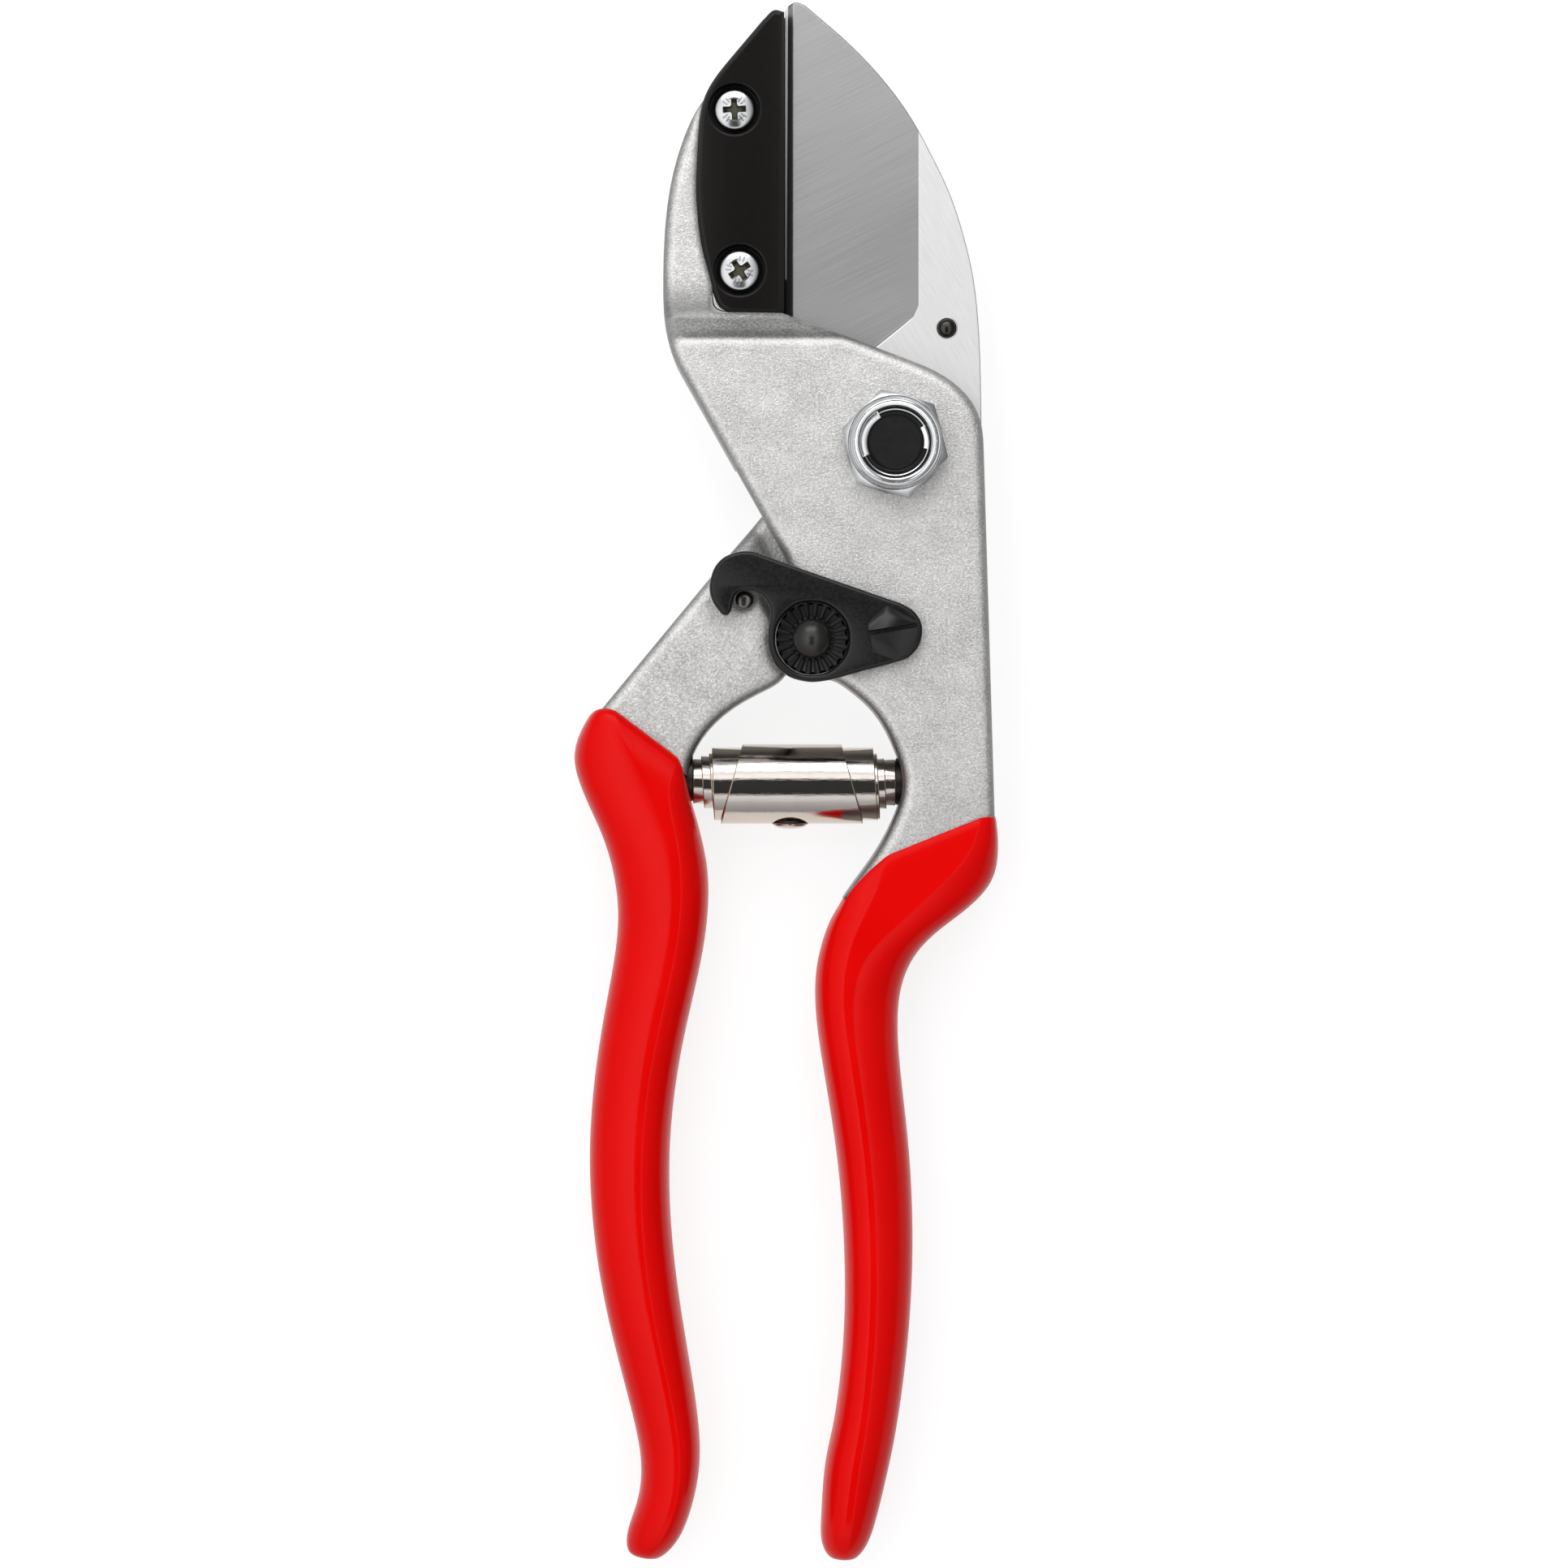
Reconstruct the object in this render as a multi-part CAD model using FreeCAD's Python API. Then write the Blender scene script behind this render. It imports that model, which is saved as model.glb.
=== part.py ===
import FreeCAD, Part
import math
import os

# Anvil pruning shears, closed, lying flat. Millimetres.
# +Z is the front, +Y runs along the length to the blade's tip, and the pivot axis is X = Y = 0.
# Z = 0 is the flat outer face of the pivot bolt's head, level with the back of the grips.

# ---- Layers through the thickness ----
bolt_head_height = 2.2
rear_head_thickness = 4.0
blade_thickness = 3.2
face_gap = 0.1
front_head_thickness = 5.1
handle_back_z = 1.4
rear_arm_front_z = 12.4
grip_thickness = 15.6
vinyl_thickness = 1.1
vinyl_clearance = 0.06

rear_head_back_z = bolt_head_height
blade_back_z = rear_head_back_z + rear_head_thickness
blade_front_z = blade_back_z + blade_thickness
blade_middle_z = (blade_back_z + blade_front_z) / 2
front_head_back_z = blade_front_z + face_gap
front_face_z = front_head_back_z + front_head_thickness
nut_back_z = front_face_z + face_gap
grip_middle_z = grip_thickness / 2
far = 120.0

# ---- Pivot ----
bolt_radius = 4.0
bolt_head_chamfer = 0.66
bolt_neck_side = 9.0
bolt_neck_radius = 5.6
bolt_end_radius = 3.7
bolt_end_length = 1.4
bolt_end_chamfer = 0.3
bush_wall = 2.0
running_clearance = 0.05
nut_across_flats = 13.0
nut_hex_height = 5.0
nut_top_inset = 0.15
nut_chamfer_angle = 30.0
nut_collar_radius = 6.15
nut_collar_height = 1.5
nut_collar_edge_radius = 0.6
nut_mouth_radius = 4.85
nut_mouth_depth = 1.9
nut_turn = -11.7
lock_ring_thickness = 0.6
lock_ring_width = 0.4
lock_ring_tab_radius = 3.8
lock_ring_tabs = [(125, 215), (-15, 25)]
opening_angle = 20.0

bush_radius = bolt_radius + bush_wall
nut_corner_radius = nut_across_flats / math.sqrt(3)
bolt_head_radius = nut_corner_radius
nut_hex_top_z = nut_back_z + nut_hex_height
nut_top_z = nut_hex_top_z + nut_collar_height
nut_mouth_z = nut_top_z - nut_mouth_depth
bolt_end_z = nut_mouth_z + bolt_end_length

# ---- Blade and its dowel ----
blade_heel_radius = 12.1
blade_foot_y = 16.0
blade_neck = (-13.05, 10.0)
edge_x = -14.95
edge_thickness = 0.25
edge_bevel_width = 1.15
edge_bevel_drop = 0.95
bevel_line_x = 3.4
bevel_corner = [(bevel_line_x, 19.5), (2.7, 18.0), (-22.5, -2.2)]
dowel_radius = 1.35
dowel_place = (7.3, 16.4)
dowel_stand = 0.25
dowel_floor = 0.3

# ---- Rear casting: head, lug for the dowel, and arm ----
rear_head_rim = 0.2
lug_wall = 3.0
rear_head_edge_radius = 0.45
head_clearance = 0.6
blade_room_gap = 0.45
arm_angle = 230.4
arm_upper_offset = 7.95
arm_lower_offset = 8.45
arm_start = 6.0
arm_lower_end = 34.1
arm_upper_end = 62.0
arm_end = (-32.0, -55.0)
arm_corner_radius = 1.3
arm_ramp_start = 1.2
arm_ramp_end = 6.2
arm_ledge_drop = 0.2
rear_head_radius = blade_heel_radius + rear_head_rim
lug_radius = dowel_radius + lug_wall
arm_ledge_z = front_head_back_z - arm_ledge_drop

# ---- Anvil and its screws ----
anvil_face_x = edge_x - face_gap
anvil_seat_z = 4.6
anvil_height = 7.0
anvil_edge_chamfer = 0.45
anvil_foot_y = 18.3
anvil_top_y = 59.6
screw_places = {"upper": (-21.9, 46.3), "lower": (-21.2, 24.2)}
screw_turns = {"upper": 12.0, "lower": 33.0}
screw_radius = 1.5
screw_head_radius = 2.7
screw_head_height = 2.0
screw_head_edge_radius = 0.7
screw_recess_radius = 3.55
screw_recess_depth = 2.4
screw_point_gap = 0.6
cross_width = 0.85
cross_length = 3.5
cross_depth = 1.3
anvil_front_z = anvil_seat_z + anvil_height

# ---- Front casting ----
casting_corner_radius = 1.4
casting_back_radius = 0.9
anvil_overhang = 0.55
jaw_rim_z = 11.3
jaw_tip_rim_z = 10.9
jaw_slope_height = 3.7
jaw_slope_bottom_y = anvil_foot_y - 0.3
jaw_face_x = anvil_face_x - anvil_overhang

# ---- Catch: lever, rivet, washers and the pin it holds ----
catch_centre = (-11.3, -26.5)
lever_gap = 0.2
lever_thickness = 2.6
lever_edge_radius = 0.4
lever_rim_wall = 0.45
lever_rim_height = 0.35
lever_pocket_radius = 4.95
lever_pocket_depth = 1.2
thumb_rib_place = (0.2, -25.35)
thumb_rib_angle = 8.2
thumb_rib_length = 7.4
thumb_rib_width = 7.6
thumb_rib_height = 1.5
thumb_rib_root = 0.3
rivet_radius = 2.0
rivet_dome_radius = 2.7
rivet_dome_height = 1.5
rivet_floor = 0.5
toothed_washer_thickness = 1.15
toothed_washer_clearance = 0.15
tooth_count = 24
tooth_depth = 0.5
tooth_start = 0.1
spring_washer_radius = 4.3
spring_washer_thickness = 0.6
spring_washer_clearance = 0.2
catch_pin_place = (-20.6, -21.1)
catch_pin_radius = 1.25
catch_pin_depth = 5.0
catch_pin_edge_radius = 0.75

lever_back_z = front_face_z + lever_gap
lever_front_z = lever_back_z + lever_thickness
lever_floor_z = lever_front_z - lever_pocket_depth
toothed_washer_z = lever_floor_z + running_clearance
rivet_dome_z = toothed_washer_z + toothed_washer_thickness

# ---- Spring and its seats ----
left_seat_face_x = -27.65
right_seat_face_x = 0.3
left_seat_y = -45.45
right_seat_y = -45.95
seat_radius = 3.2
seat_thickness = 1.3
seat_peg_radius = 2.0
seat_peg_length = 4.0
seat_stem_radius = 1.6
seat_stem_length = 3.5
seat_room = 0.3
spring_axis_y = -46.25
spring_bore_clearance = 0.4
spring_end_inset = 0.1
spring_tube_growth = 0.5
spring_tube_step = 1.3
spring_barrel_radius = 5.1
spring_wrap_radius = 5.5

# ---- Outlines, as (X, Y) ----
# The front casting's jaw: its tip, then its silhouette down to the straight left edge, and that edge's end.
jaw_tip = [(jaw_face_x, 59.2), (-17.2, 58.6)]
jaw_side = [(-26.0, 47.9), (-28.8, 42.7), (-30.4, 37.4), (-31.5, 29.3), (-31.7, 22.6), (-31.3, 16.0),
            (-29.4, 10.5)]
front_left_end = (-15.65, -13.9)
# The boss below the catch lever, from the centre of the catch, and then the handle's inner edge to the grip.
catch_boss = [(-3.1, 9.7), (-3.2, 6.9), (-4.4, 3.7), (-5.4, 0.2), (-4.2, -3.35), (-1.2, -5.35)]
front_arch = [(-8.7, -31.9), (-6.0, -33.4), (-3.1, -36.0), (0.0, -41.2), (1.2, -46.2), (-0.3, -51.6),
              (-3.0, -56.4), (-6.6, -61.4)]
front_end = [(-9.6, -66.0), (13.95, -58.0)]
# The head's shoulder, from the straight right edge round to the slope below the anvil.
front_shoulder = [(12.25, -1.0), (11.6, 4.0), (8.7, 8.1), (2.6, 11.5)]
shoulder_foot_y = 18.4
# The anvil: its left side from the tip down, its rounded foot, and the sharp corner of its pocket there.
anvil_tip = (-16.3, 59.9)
anvil_side = [(-18.0, 58.5), (-22.4, 53.3), (-26.0, 47.9), (-26.9, 41.3), (-27.15, 36.4), (-26.9, 31.0),
              (-25.9, 25.4), (-24.9, 21.2)]
anvil_foot = [(-24.0, 19.2), (-22.2, 18.45)]
pocket_corner = (-24.75, 18.45)
# The blade: its tip, and its back from there down to the round heel.
blade_tip = [(edge_x, 60.3), (-14.3, 61.0), (-13.2, 61.3), (-12.2, 60.9)]
blade_back = [(-12.2, 60.9), (-6.9, 56.3), (-1.8, 51.0), (2.2, 45.6), (5.2, 40.2), (7.7, 34.9), (9.5, 29.5),
              (10.8, 24.1), (11.5, 18.8), (11.9, 12.0)]
# The inner edge of the rear casting's arm, from its straight lower edge to the grip.
rear_arch = [(-18.2, -33.6), (-22.9, -36.4), (-26.6, -40.3), (-28.2, -44.4), (-28.6, -47.5)]
# The catch lever: round the hook, its beak and its mouth to the hub, and then round the thumb end.
lever_hook = [(-17.6, -15.3), (-19.7, -14.65), (-21.8, -14.85), (-23.9, -16.0), (-25.1, -18.5),
              (-25.1, -20.6), (-24.1, -22.5), (-23.0, -23.35), (-22.35, -22.8), (-22.1, -21.7),
              (-21.5, -20.35), (-20.3, -19.85), (-18.8, -20.2), (-17.5, -21.3), (-16.95, -23.0),
              (-17.25, -25.6), (-17.0, -28.4), (-15.4, -31.0), (-12.4, -32.3), (-9.2, -32.2), (-5.6, -31.25)]
lever_thumb = [(-0.3, -29.85), (2.3, -28.7), (3.7, -25.9), (3.1, -23.4), (1.0, -21.8)]

# Grip stations down the handle: left point, right point, back Z, front Z, squareness of the section.
left_grip_stations = [
    ((-40.6, -36.6), (-28.2, -45.3), 0.5, 13.4, 5.0),
    ((-43.8, -40.0), (-27.6, -48.2), 0.25, 14.4, 3.6),
    ((-44.5, -43.5), (-26.9, -51.0), 0.1, 15.2, 3.0),
    ((-42.3, -49.0), (-26.0, -55.2), 0.1, 15.5, 2.7),
    ((-39.3, -55.0), (-25.3, -59.6), 0.1, 15.5, 2.6),
    ((-37.55, -64.0), (-25.6, -66.4), 0.1, 15.5, 2.5),
    ((-38.9, -72.6), (-27.2, -74.2), 0.1, 15.5, 2.5),
    ((-40.95, -83.0), (-29.35, -83.0), 0.1, 15.5, 2.5),
    ((-42.2, -95.5), (-30.95, -94.5), 0.1, 15.5, 2.5),
    ((-41.65, -107.5), (-30.85, -106.0), 0.1, 15.4, 2.5),
    ((-39.8, -119.0), (-29.55, -117.4), 0.1, 15.3, 2.5),
    ((-36.55, -131.0), (-27.55, -128.6), 0.1, 15.1, 2.5),
    ((-34.5, -139.3), (-26.2, -138.6), 0.1, 14.9, 2.5),
    ((-35.1, -145.0), (-27.5, -145.4), 0.5, 14.4, 2.4),
    ((-36.4, -149.1), (-30.2, -149.9), 1.8, 13.2, 2.3),
    ((-36.5, -151.5), (-32.8, -152.7), 3.9, 11.2, 2.1),
]
right_grip_stations = [
    ((-6.8, -61.9), (14.05, -50.5), 0.5, 15.5, 5.0),
    ((-8.35, -64.7), (14.45, -54.7), 0.25, 15.5, 3.8),
    ((-9.75, -68.1), (13.7, -59.4), 0.1, 15.5, 3.0),
    ((-10.6, -71.3), (9.6, -63.6), 0.1, 15.5, 2.7),
    ((-10.95, -74.8), (4.2, -67.7), 0.1, 15.5, 2.6),
    ((-10.7, -79.4), (0.6, -73.6), 0.1, 15.5, 2.5),
    ((-9.55, -86.6), (0.5, -82.8), 0.1, 15.5, 2.5),
    ((-7.7, -97.4), (2.35, -96.0), 0.1, 15.5, 2.5),
    ((-6.7, -110.0), (2.9, -109.6), 0.1, 15.4, 2.5),
    ((-6.7, -122.0), (2.25, -122.6), 0.1, 15.3, 2.5),
    ((-8.0, -133.4), (0.65, -134.2), 0.1, 15.1, 2.5),
    ((-9.45, -141.6), (-1.0, -142.2), 0.1, 14.9, 2.5),
    ((-10.0, -147.0), (-2.3, -147.6), 0.5, 14.4, 2.4),
    ((-10.2, -150.6), (-3.4, -151.0), 1.8, 13.2, 2.3),
    ((-8.9, -152.8), (-5.1, -153.1), 3.9, 11.2, 2.1),
]
grip_crest_shift = 0.09
section_points = 16


def vec(x, y, z=0.0):
    return FreeCAD.Vector(x, y, z)


def unit(p, q):
    d = vec(q[0] - p[0], q[1] - p[1])
    d.normalize()
    return d


def smooth_edge(points, start, end):
    """A cubic spline through the points, curvature continuous, with the given unit end directions."""
    spans = [(q - p).Length for p, q in zip(points, points[1:])]
    chords = [(q - p) * (1 / h) for p, q, h in zip(points, points[1:], spans)]
    ratios = [0.0]
    slopes = [start]
    for i in range(1, len(spans)):
        before, after = spans[i - 1], spans[i]
        target = (chords[i - 1] * after + chords[i] * before) * 3
        pivot = 2 * (before + after) - after * ratios[-1]
        ratios.append(before / pivot)
        slopes.append((target - slopes[-1] * after) * (1 / pivot))
    slopes.append(end)
    for i in range(len(spans) - 1, 0, -1):
        slopes[i] = slopes[i] - slopes[i + 1] * ratios[i]
    poles = [points[0]]
    knots = [0.0]
    for p, q, h, u, w in zip(points, points[1:], spans, slopes, slopes[1:]):
        poles += [p + u * (h / 3), q - w * (h / 3), q]
        knots.append(knots[-1] + h)
    curve = Part.BSplineCurve()
    curve.buildFromPolesMultsKnots(poles, [4] + [3] * (len(knots) - 2) + [4], knots, False, 3)
    for i in range(len(knots) - 1, 1, -1):
        curve.removeKnot(i, 1, 1e-4)
    return curve.toShape()


def is_line(run):
    return len(run) == 2 and run[0] != "arc"


def closed_face(runs, z):
    """A flat face at z bounded by runs of points: two points are a line, more are a smooth curve that
    leaves and meets a straight neighbour along its direction, and ("arc", three points) is an arc."""
    edges = []
    for i, run in enumerate(runs):
        if run[0] == "arc":
            edges.append(Part.Arc(*[vec(x, y, z) for x, y in run[1]]).toShape())
            continue
        points = [vec(x, y, z) for x, y in run]
        if len(run) == 2:
            edges.append(Part.makeLine(points[0], points[1]))
            continue
        before = runs[i - 1]
        after = runs[(i + 1) % len(runs)]
        start = unit(before[-2], before[-1]) if is_line(before) else None
        end = unit(after[0], after[1]) if is_line(after) else None
        first = unit(run[0], run[1])
        last = unit(run[-2], run[-1])
        if start is None or start.dot(first) < 0.8:
            start = first
        if end is None or end.dot(last) < 0.8:
            end = last
        edges.append(smooth_edge(points, start, end))
    return Part.Face(Part.Wire(Part.__sortEdges__(edges)))


def polygon(points, z):
    return Part.Face(Part.makePolygon([vec(x, y, z) for x, y in points + points[:1]]))


def slab(face, height):
    return face.extrude(vec(0, 0, height))


def cylinder(radius, z0, z1, centre=(0.0, 0.0)):
    return Part.makeCylinder(radius, z1 - z0, vec(centre[0], centre[1], z0))


def x_cylinder(radius, x0, x1, y, z):
    """A cylinder along X between two places, given in either order."""
    return Part.makeCylinder(radius, abs(x1 - x0), vec(min(x0, x1), y, z), vec(1, 0, 0))


def cut_prism(profile, direction, origin, width):
    """A prism whose profile is in (distance along direction, Z), from origin, with the width across."""
    across = vec(-direction.y, direction.x)
    base = origin - across * (width / 2)
    points = [base + direction * s + vec(0, 0, z) for s, z in profile]
    return Part.Face(Part.makePolygon(points + points[:1])).extrude(across * width)


def edges_at(shape, z):
    """The edges that lie in the plane at z."""
    return [e for e in shape.Edges if max(abs(e.BoundBox.ZMin - z), abs(e.BoundBox.ZMax - z)) < 0.001]


def lies_at_x(edge, x):
    return max(abs(edge.BoundBox.XMin - x), abs(edge.BoundBox.XMax - x)) < 0.01


def one_solid(shape):
    solids = sorted(shape.removeSplitter().Solids, key=lambda s: s.Volume)
    return solids[-1]


def arm_point(along, across):
    """A place on the rear arm: along it from the pivot, and across it towards its lower edge."""
    a = math.radians(arm_angle)
    return (along * math.cos(a) - across * math.sin(a),
            along * math.sin(a) + across * math.cos(a))


def turned(point, degrees):
    a = math.radians(degrees)
    return (point[0] * math.cos(a) - point[1] * math.sin(a),
            point[0] * math.sin(a) + point[1] * math.cos(a))


def grip_section(station, inset, crest):
    """One closed section of a grip, in the upright plane through its left and right points."""
    left, right, back, front, squareness = station
    across = unit(left, right)
    half = (vec(*right) - vec(*left)).Length / 2 - inset
    middle = (vec(*right) + vec(*left)) * 0.5
    height = (front - back) / 2 - inset
    points = []
    for i in range(section_points):
        a = 2 * math.pi * (i + 0.5) / section_points
        c = math.cos(a)
        s = math.sin(a)
        u = math.copysign(abs(c) ** (2 / squareness), c)
        w = math.copysign(abs(s) ** (2 / squareness), s)
        u += crest * abs(w) ** 3 * (1 - abs(u))
        points.append(middle + across * (u * half) + vec(0, 0, (front + back) / 2 + w * height))
    curve = Part.BSplineCurve()
    curve.interpolate(Points=points, PeriodicFlag=True)
    return Part.Wire(curve.toShape())


def grip_body(stations, inset, crest):
    return Part.makeLoft([grip_section(s, inset, crest) for s in stations], True, False)

def beyond(stations):
    """Everything on the grip's side of its first station."""
    left, right = stations[0][:2]
    across = unit(left, right)
    down = vec(across.y, -across.x)
    middle = (vec(*left) + vec(*right)) * 0.5
    return cut_prism([(0, -far), (far, -far), (far, far), (0, far)], down, middle, far)


def rear_clearance():
    """The room below the front casting's head that the rear casting and the blade sweep."""
    room = rear_head_radius + head_clearance
    lower = arm_lower_offset + head_clearance
    upper = -arm_upper_offset - head_clearance
    opened = [turned(arm_point(along, upper), -opening_angle) for along in (far, 0)]
    arm_room = polygon([arm_point(0, lower), arm_point(far, lower)] + opened, 0)
    front_x = edge_x - blade_room_gap
    neck = (blade_neck[0] - blade_room_gap, blade_neck[1] - blade_room_gap)
    blade_room = polygon([(front_x, far), (front_x, blade_foot_y - blade_room_gap), neck, (-room, 0.0),
                          (far, 0.0), (far, far)], 0)
    disc = cylinder(room, 0, front_head_back_z)
    return disc.fuse([slab(arm_room, front_head_back_z), slab(blade_room, front_head_back_z)])


def anvil_outline(z, foot):
    """The anvil's outline, with the given points round its foot."""
    foot_end = (anvil_face_x, anvil_foot_y)
    top = (anvil_face_x, anvil_top_y)
    runs = [anvil_side, [anvil_side[-1]] + foot, [foot[-1], foot_end], [foot_end, top],
            [top, anvil_tip, anvil_side[0]]]
    return closed_face(runs, z)


def make_anvil():
    body = slab(anvil_outline(anvil_seat_z, anvil_foot), anvil_height)
    body = body.makeChamfer(anvil_edge_chamfer, edges_at(body, anvil_front_z))
    recess_z = anvil_front_z - screw_recess_depth
    for place in screw_places.values():
        body = body.cut(cylinder(screw_radius, anvil_seat_z, anvil_front_z, place))
        body = body.cut(cylinder(screw_recess_radius, recess_z, anvil_front_z, place))
    return one_solid(body)


def make_anvil_screw(name):
    x, y = place = screw_places[name]
    seat_z = anvil_front_z - screw_recess_depth
    top_z = seat_z + screw_head_height
    head = cylinder(screw_head_radius, seat_z, top_z, place)
    head = head.makeFillet(screw_head_edge_radius, edges_at(head, top_z))
    body = head.fuse(cylinder(screw_radius, handle_back_z + screw_point_gap, seat_z, place))
    for turn in (0, 90):
        bar = Part.makeBox(cross_length, cross_width, cross_depth,
                           vec(x - cross_length / 2, y - cross_width / 2, top_z - cross_depth))
        bar.rotate(vec(x, y), vec(0, 0, 1), screw_turns[name] + turn)
        body = body.cut(bar)
    return one_solid(body)


def front_outline(z):
    """The front casting from the jaw's tip to a little way inside the grip."""
    foot = (jaw_face_x, shoulder_foot_y)
    cx, cy = catch_centre
    inner = [front_left_end] + [(cx + x, cy + y) for x, y in catch_boss] + front_arch
    runs = [[foot, jaw_tip[0]], jaw_tip, [jaw_tip[-1], jaw_side[0]], jaw_side, [jaw_side[-1], front_left_end],
            inner, [inner[-1], front_end[0]], front_end, [front_end[-1], front_shoulder[0]], front_shoulder,
            [front_shoulder[-1], foot]]
    return closed_face(runs, z)


def front_rounded_edges(body):
    """The front edges to round: not the jaw's edges beside the anvil, nor the slope's two end lines."""
    edges = []
    for e in body.Edges:
        on_front = e.BoundBox.ZMin > jaw_tip_rim_z - running_clearance
        across = e.BoundBox.YLength < 0.01
        beside_anvil = lies_at_x(e, jaw_face_x) or e.CenterOfMass.y > jaw_side[0][1]
        if on_front and not across and not beside_anvil and e.Length > casting_corner_radius:
            edges.append(e)
    return edges


def make_anvil_handle():
    body = slab(front_outline(handle_back_z), front_face_z - handle_back_z)
    slope_top_y = jaw_slope_bottom_y - jaw_slope_height
    end_y = anvil_top_y + 1
    above_z = front_face_z + 1
    slope = [(slope_top_y, front_face_z), (jaw_slope_bottom_y, jaw_rim_z), (end_y, jaw_tip_rim_z),
             (end_y, above_z), (slope_top_y, above_z)]
    body = body.cut(cut_prism(slope, vec(0, 1), vec(0, 0), far))
    body = body.makeFillet(casting_corner_radius, front_rounded_edges(body))
    body = body.makeFillet(casting_back_radius, edges_at(body, handle_back_z))
    body = body.cut(rear_clearance())
    pocket = slab(anvil_outline(anvil_seat_z, [pocket_corner]), far)
    body = one_solid(body.cut(pocket))
    body = one_solid(body.cut(make_anvil()))
    body = body.cut(beyond(right_grip_stations))
    body = body.fuse(grip_body(right_grip_stations[:-1], vinyl_thickness, -grip_crest_shift))
    body = body.cut(cylinder(bush_radius + running_clearance, 0, nut_back_z))
    body = body.cut(cylinder(rivet_radius, front_head_back_z + rivet_floor, nut_back_z, catch_centre))
    for place in screw_places.values():
        body = body.cut(cylinder(screw_radius, 0, anvil_seat_z, place))
    body = body.cut(make_seat(right_seat_face_x, right_seat_y, 1))
    return one_solid(body)


def make_right_grip():
    body = grip_body(right_grip_stations, 0, -grip_crest_shift)
    inset = vinyl_thickness - vinyl_clearance
    body = body.cut(grip_body(right_grip_stations[:-1], inset, -grip_crest_shift))
    return one_solid(body)


def make_left_grip():
    body = grip_body(left_grip_stations, 0, grip_crest_shift)
    inset = vinyl_thickness - vinyl_clearance
    body = body.cut(grip_body(left_grip_stations[:-1], inset, grip_crest_shift))
    seat_back_x = left_seat_face_x - seat_thickness
    stem_end_x = seat_back_x - seat_stem_length
    room = x_cylinder(seat_radius + seat_room, seat_back_x, left_seat_face_x + seat_peg_length, left_seat_y,
                      grip_middle_z)
    stem_hole = x_cylinder(seat_stem_radius + running_clearance, stem_end_x, left_seat_face_x, left_seat_y,
                           grip_middle_z)
    return one_solid(body.cut(room.fuse(stem_hole)))


def make_rear_head():
    """The disc behind the blade and the lug that holds the dowel, joined by straight tangent sides."""
    x, y = dowel_place
    middle = math.atan2(y, x)
    lean = math.acos((rear_head_radius - lug_radius) / math.hypot(x, y))
    on_disc = []
    on_lug = []
    for a in (middle - lean, middle + lean):
        on_disc.append((rear_head_radius * math.cos(a), rear_head_radius * math.sin(a)))
        on_lug.append((x + lug_radius * math.cos(a), y + lug_radius * math.sin(a)))
    lug_end = (x + lug_radius * math.cos(middle), y + lug_radius * math.sin(middle))
    disc_end = (-rear_head_radius * math.cos(middle), -rear_head_radius * math.sin(middle))
    runs = [[on_disc[0], on_lug[0]], ("arc", [on_lug[0], lug_end, on_lug[1]]), [on_lug[1], on_disc[1]],
            ("arc", [on_disc[1], disc_end, on_disc[0]])]
    head = slab(closed_face(runs, rear_head_back_z), rear_head_thickness)
    return head.makeFillet(rear_head_edge_radius, edges_at(head, rear_head_back_z))


def make_rear_arm():
    """The arm from the head to a little way inside the grip, ramped down to below the front casting."""
    upper = [arm_point(arm_start, -arm_upper_offset), arm_point(arm_upper_end, -arm_upper_offset)]
    lower = [arm_point(arm_lower_end, arm_lower_offset), arm_point(arm_start, arm_lower_offset)]
    arch = rear_arch[::-1] + [lower[0]]
    runs = [upper, [upper[-1], arm_end], [arm_end, arch[0]], arch, lower, [lower[-1], upper[0]]]
    arm = slab(closed_face(runs, handle_back_z), rear_arm_front_z - handle_back_z)
    along_edge = unit(jaw_side[-1], front_left_end)
    away = vec(along_edge.y, -along_edge.x)
    ramp = [(-far, arm_ledge_z), (arm_ramp_start, arm_ledge_z), (arm_ramp_end, rear_arm_front_z),
            (arm_ramp_end, far), (-far, far)]
    arm = arm.cut(cut_prism(ramp, away, vec(*front_left_end), far))
    rounded = []
    for e in arm.Edges:
        ends = e.Vertexes[-1].Point - e.Vertexes[0].Point
        crease = abs(ends.dot(away)) < 0.01
        on_front = e.BoundBox.ZMin > arm_ledge_z - running_clearance
        beyond_head = math.hypot(e.CenterOfMass.x, e.CenterOfMass.y) > rear_head_radius
        if on_front and beyond_head and not crease:
            rounded.append(e)
    arm = arm.makeFillet(arm_corner_radius, rounded)
    arm = arm.makeFillet(casting_back_radius, edges_at(arm, handle_back_z))
    boss_room = slab(front_outline(arm_ledge_z), far)
    boss_room.translate(away * head_clearance)
    arm = arm.cut(boss_room)
    arm = arm.cut(cylinder(rear_head_radius + running_clearance, blade_back_z, far))
    arm = arm.cut(cylinder(rear_head_radius + running_clearance, 0, rear_head_back_z))
    return arm.cut(beyond(left_grip_stations))


def make_blade_handle():
    body = make_rear_head().fuse(make_rear_arm())
    body = body.fuse(grip_body(left_grip_stations[:-1], vinyl_thickness, grip_crest_shift))
    for inset in (make_pivot_bolt(), make_blade_dowel(), make_catch_pin(),
                  make_seat(left_seat_face_x, left_seat_y, -1)):
        body = body.cut(inset)
    return one_solid(body)


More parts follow.
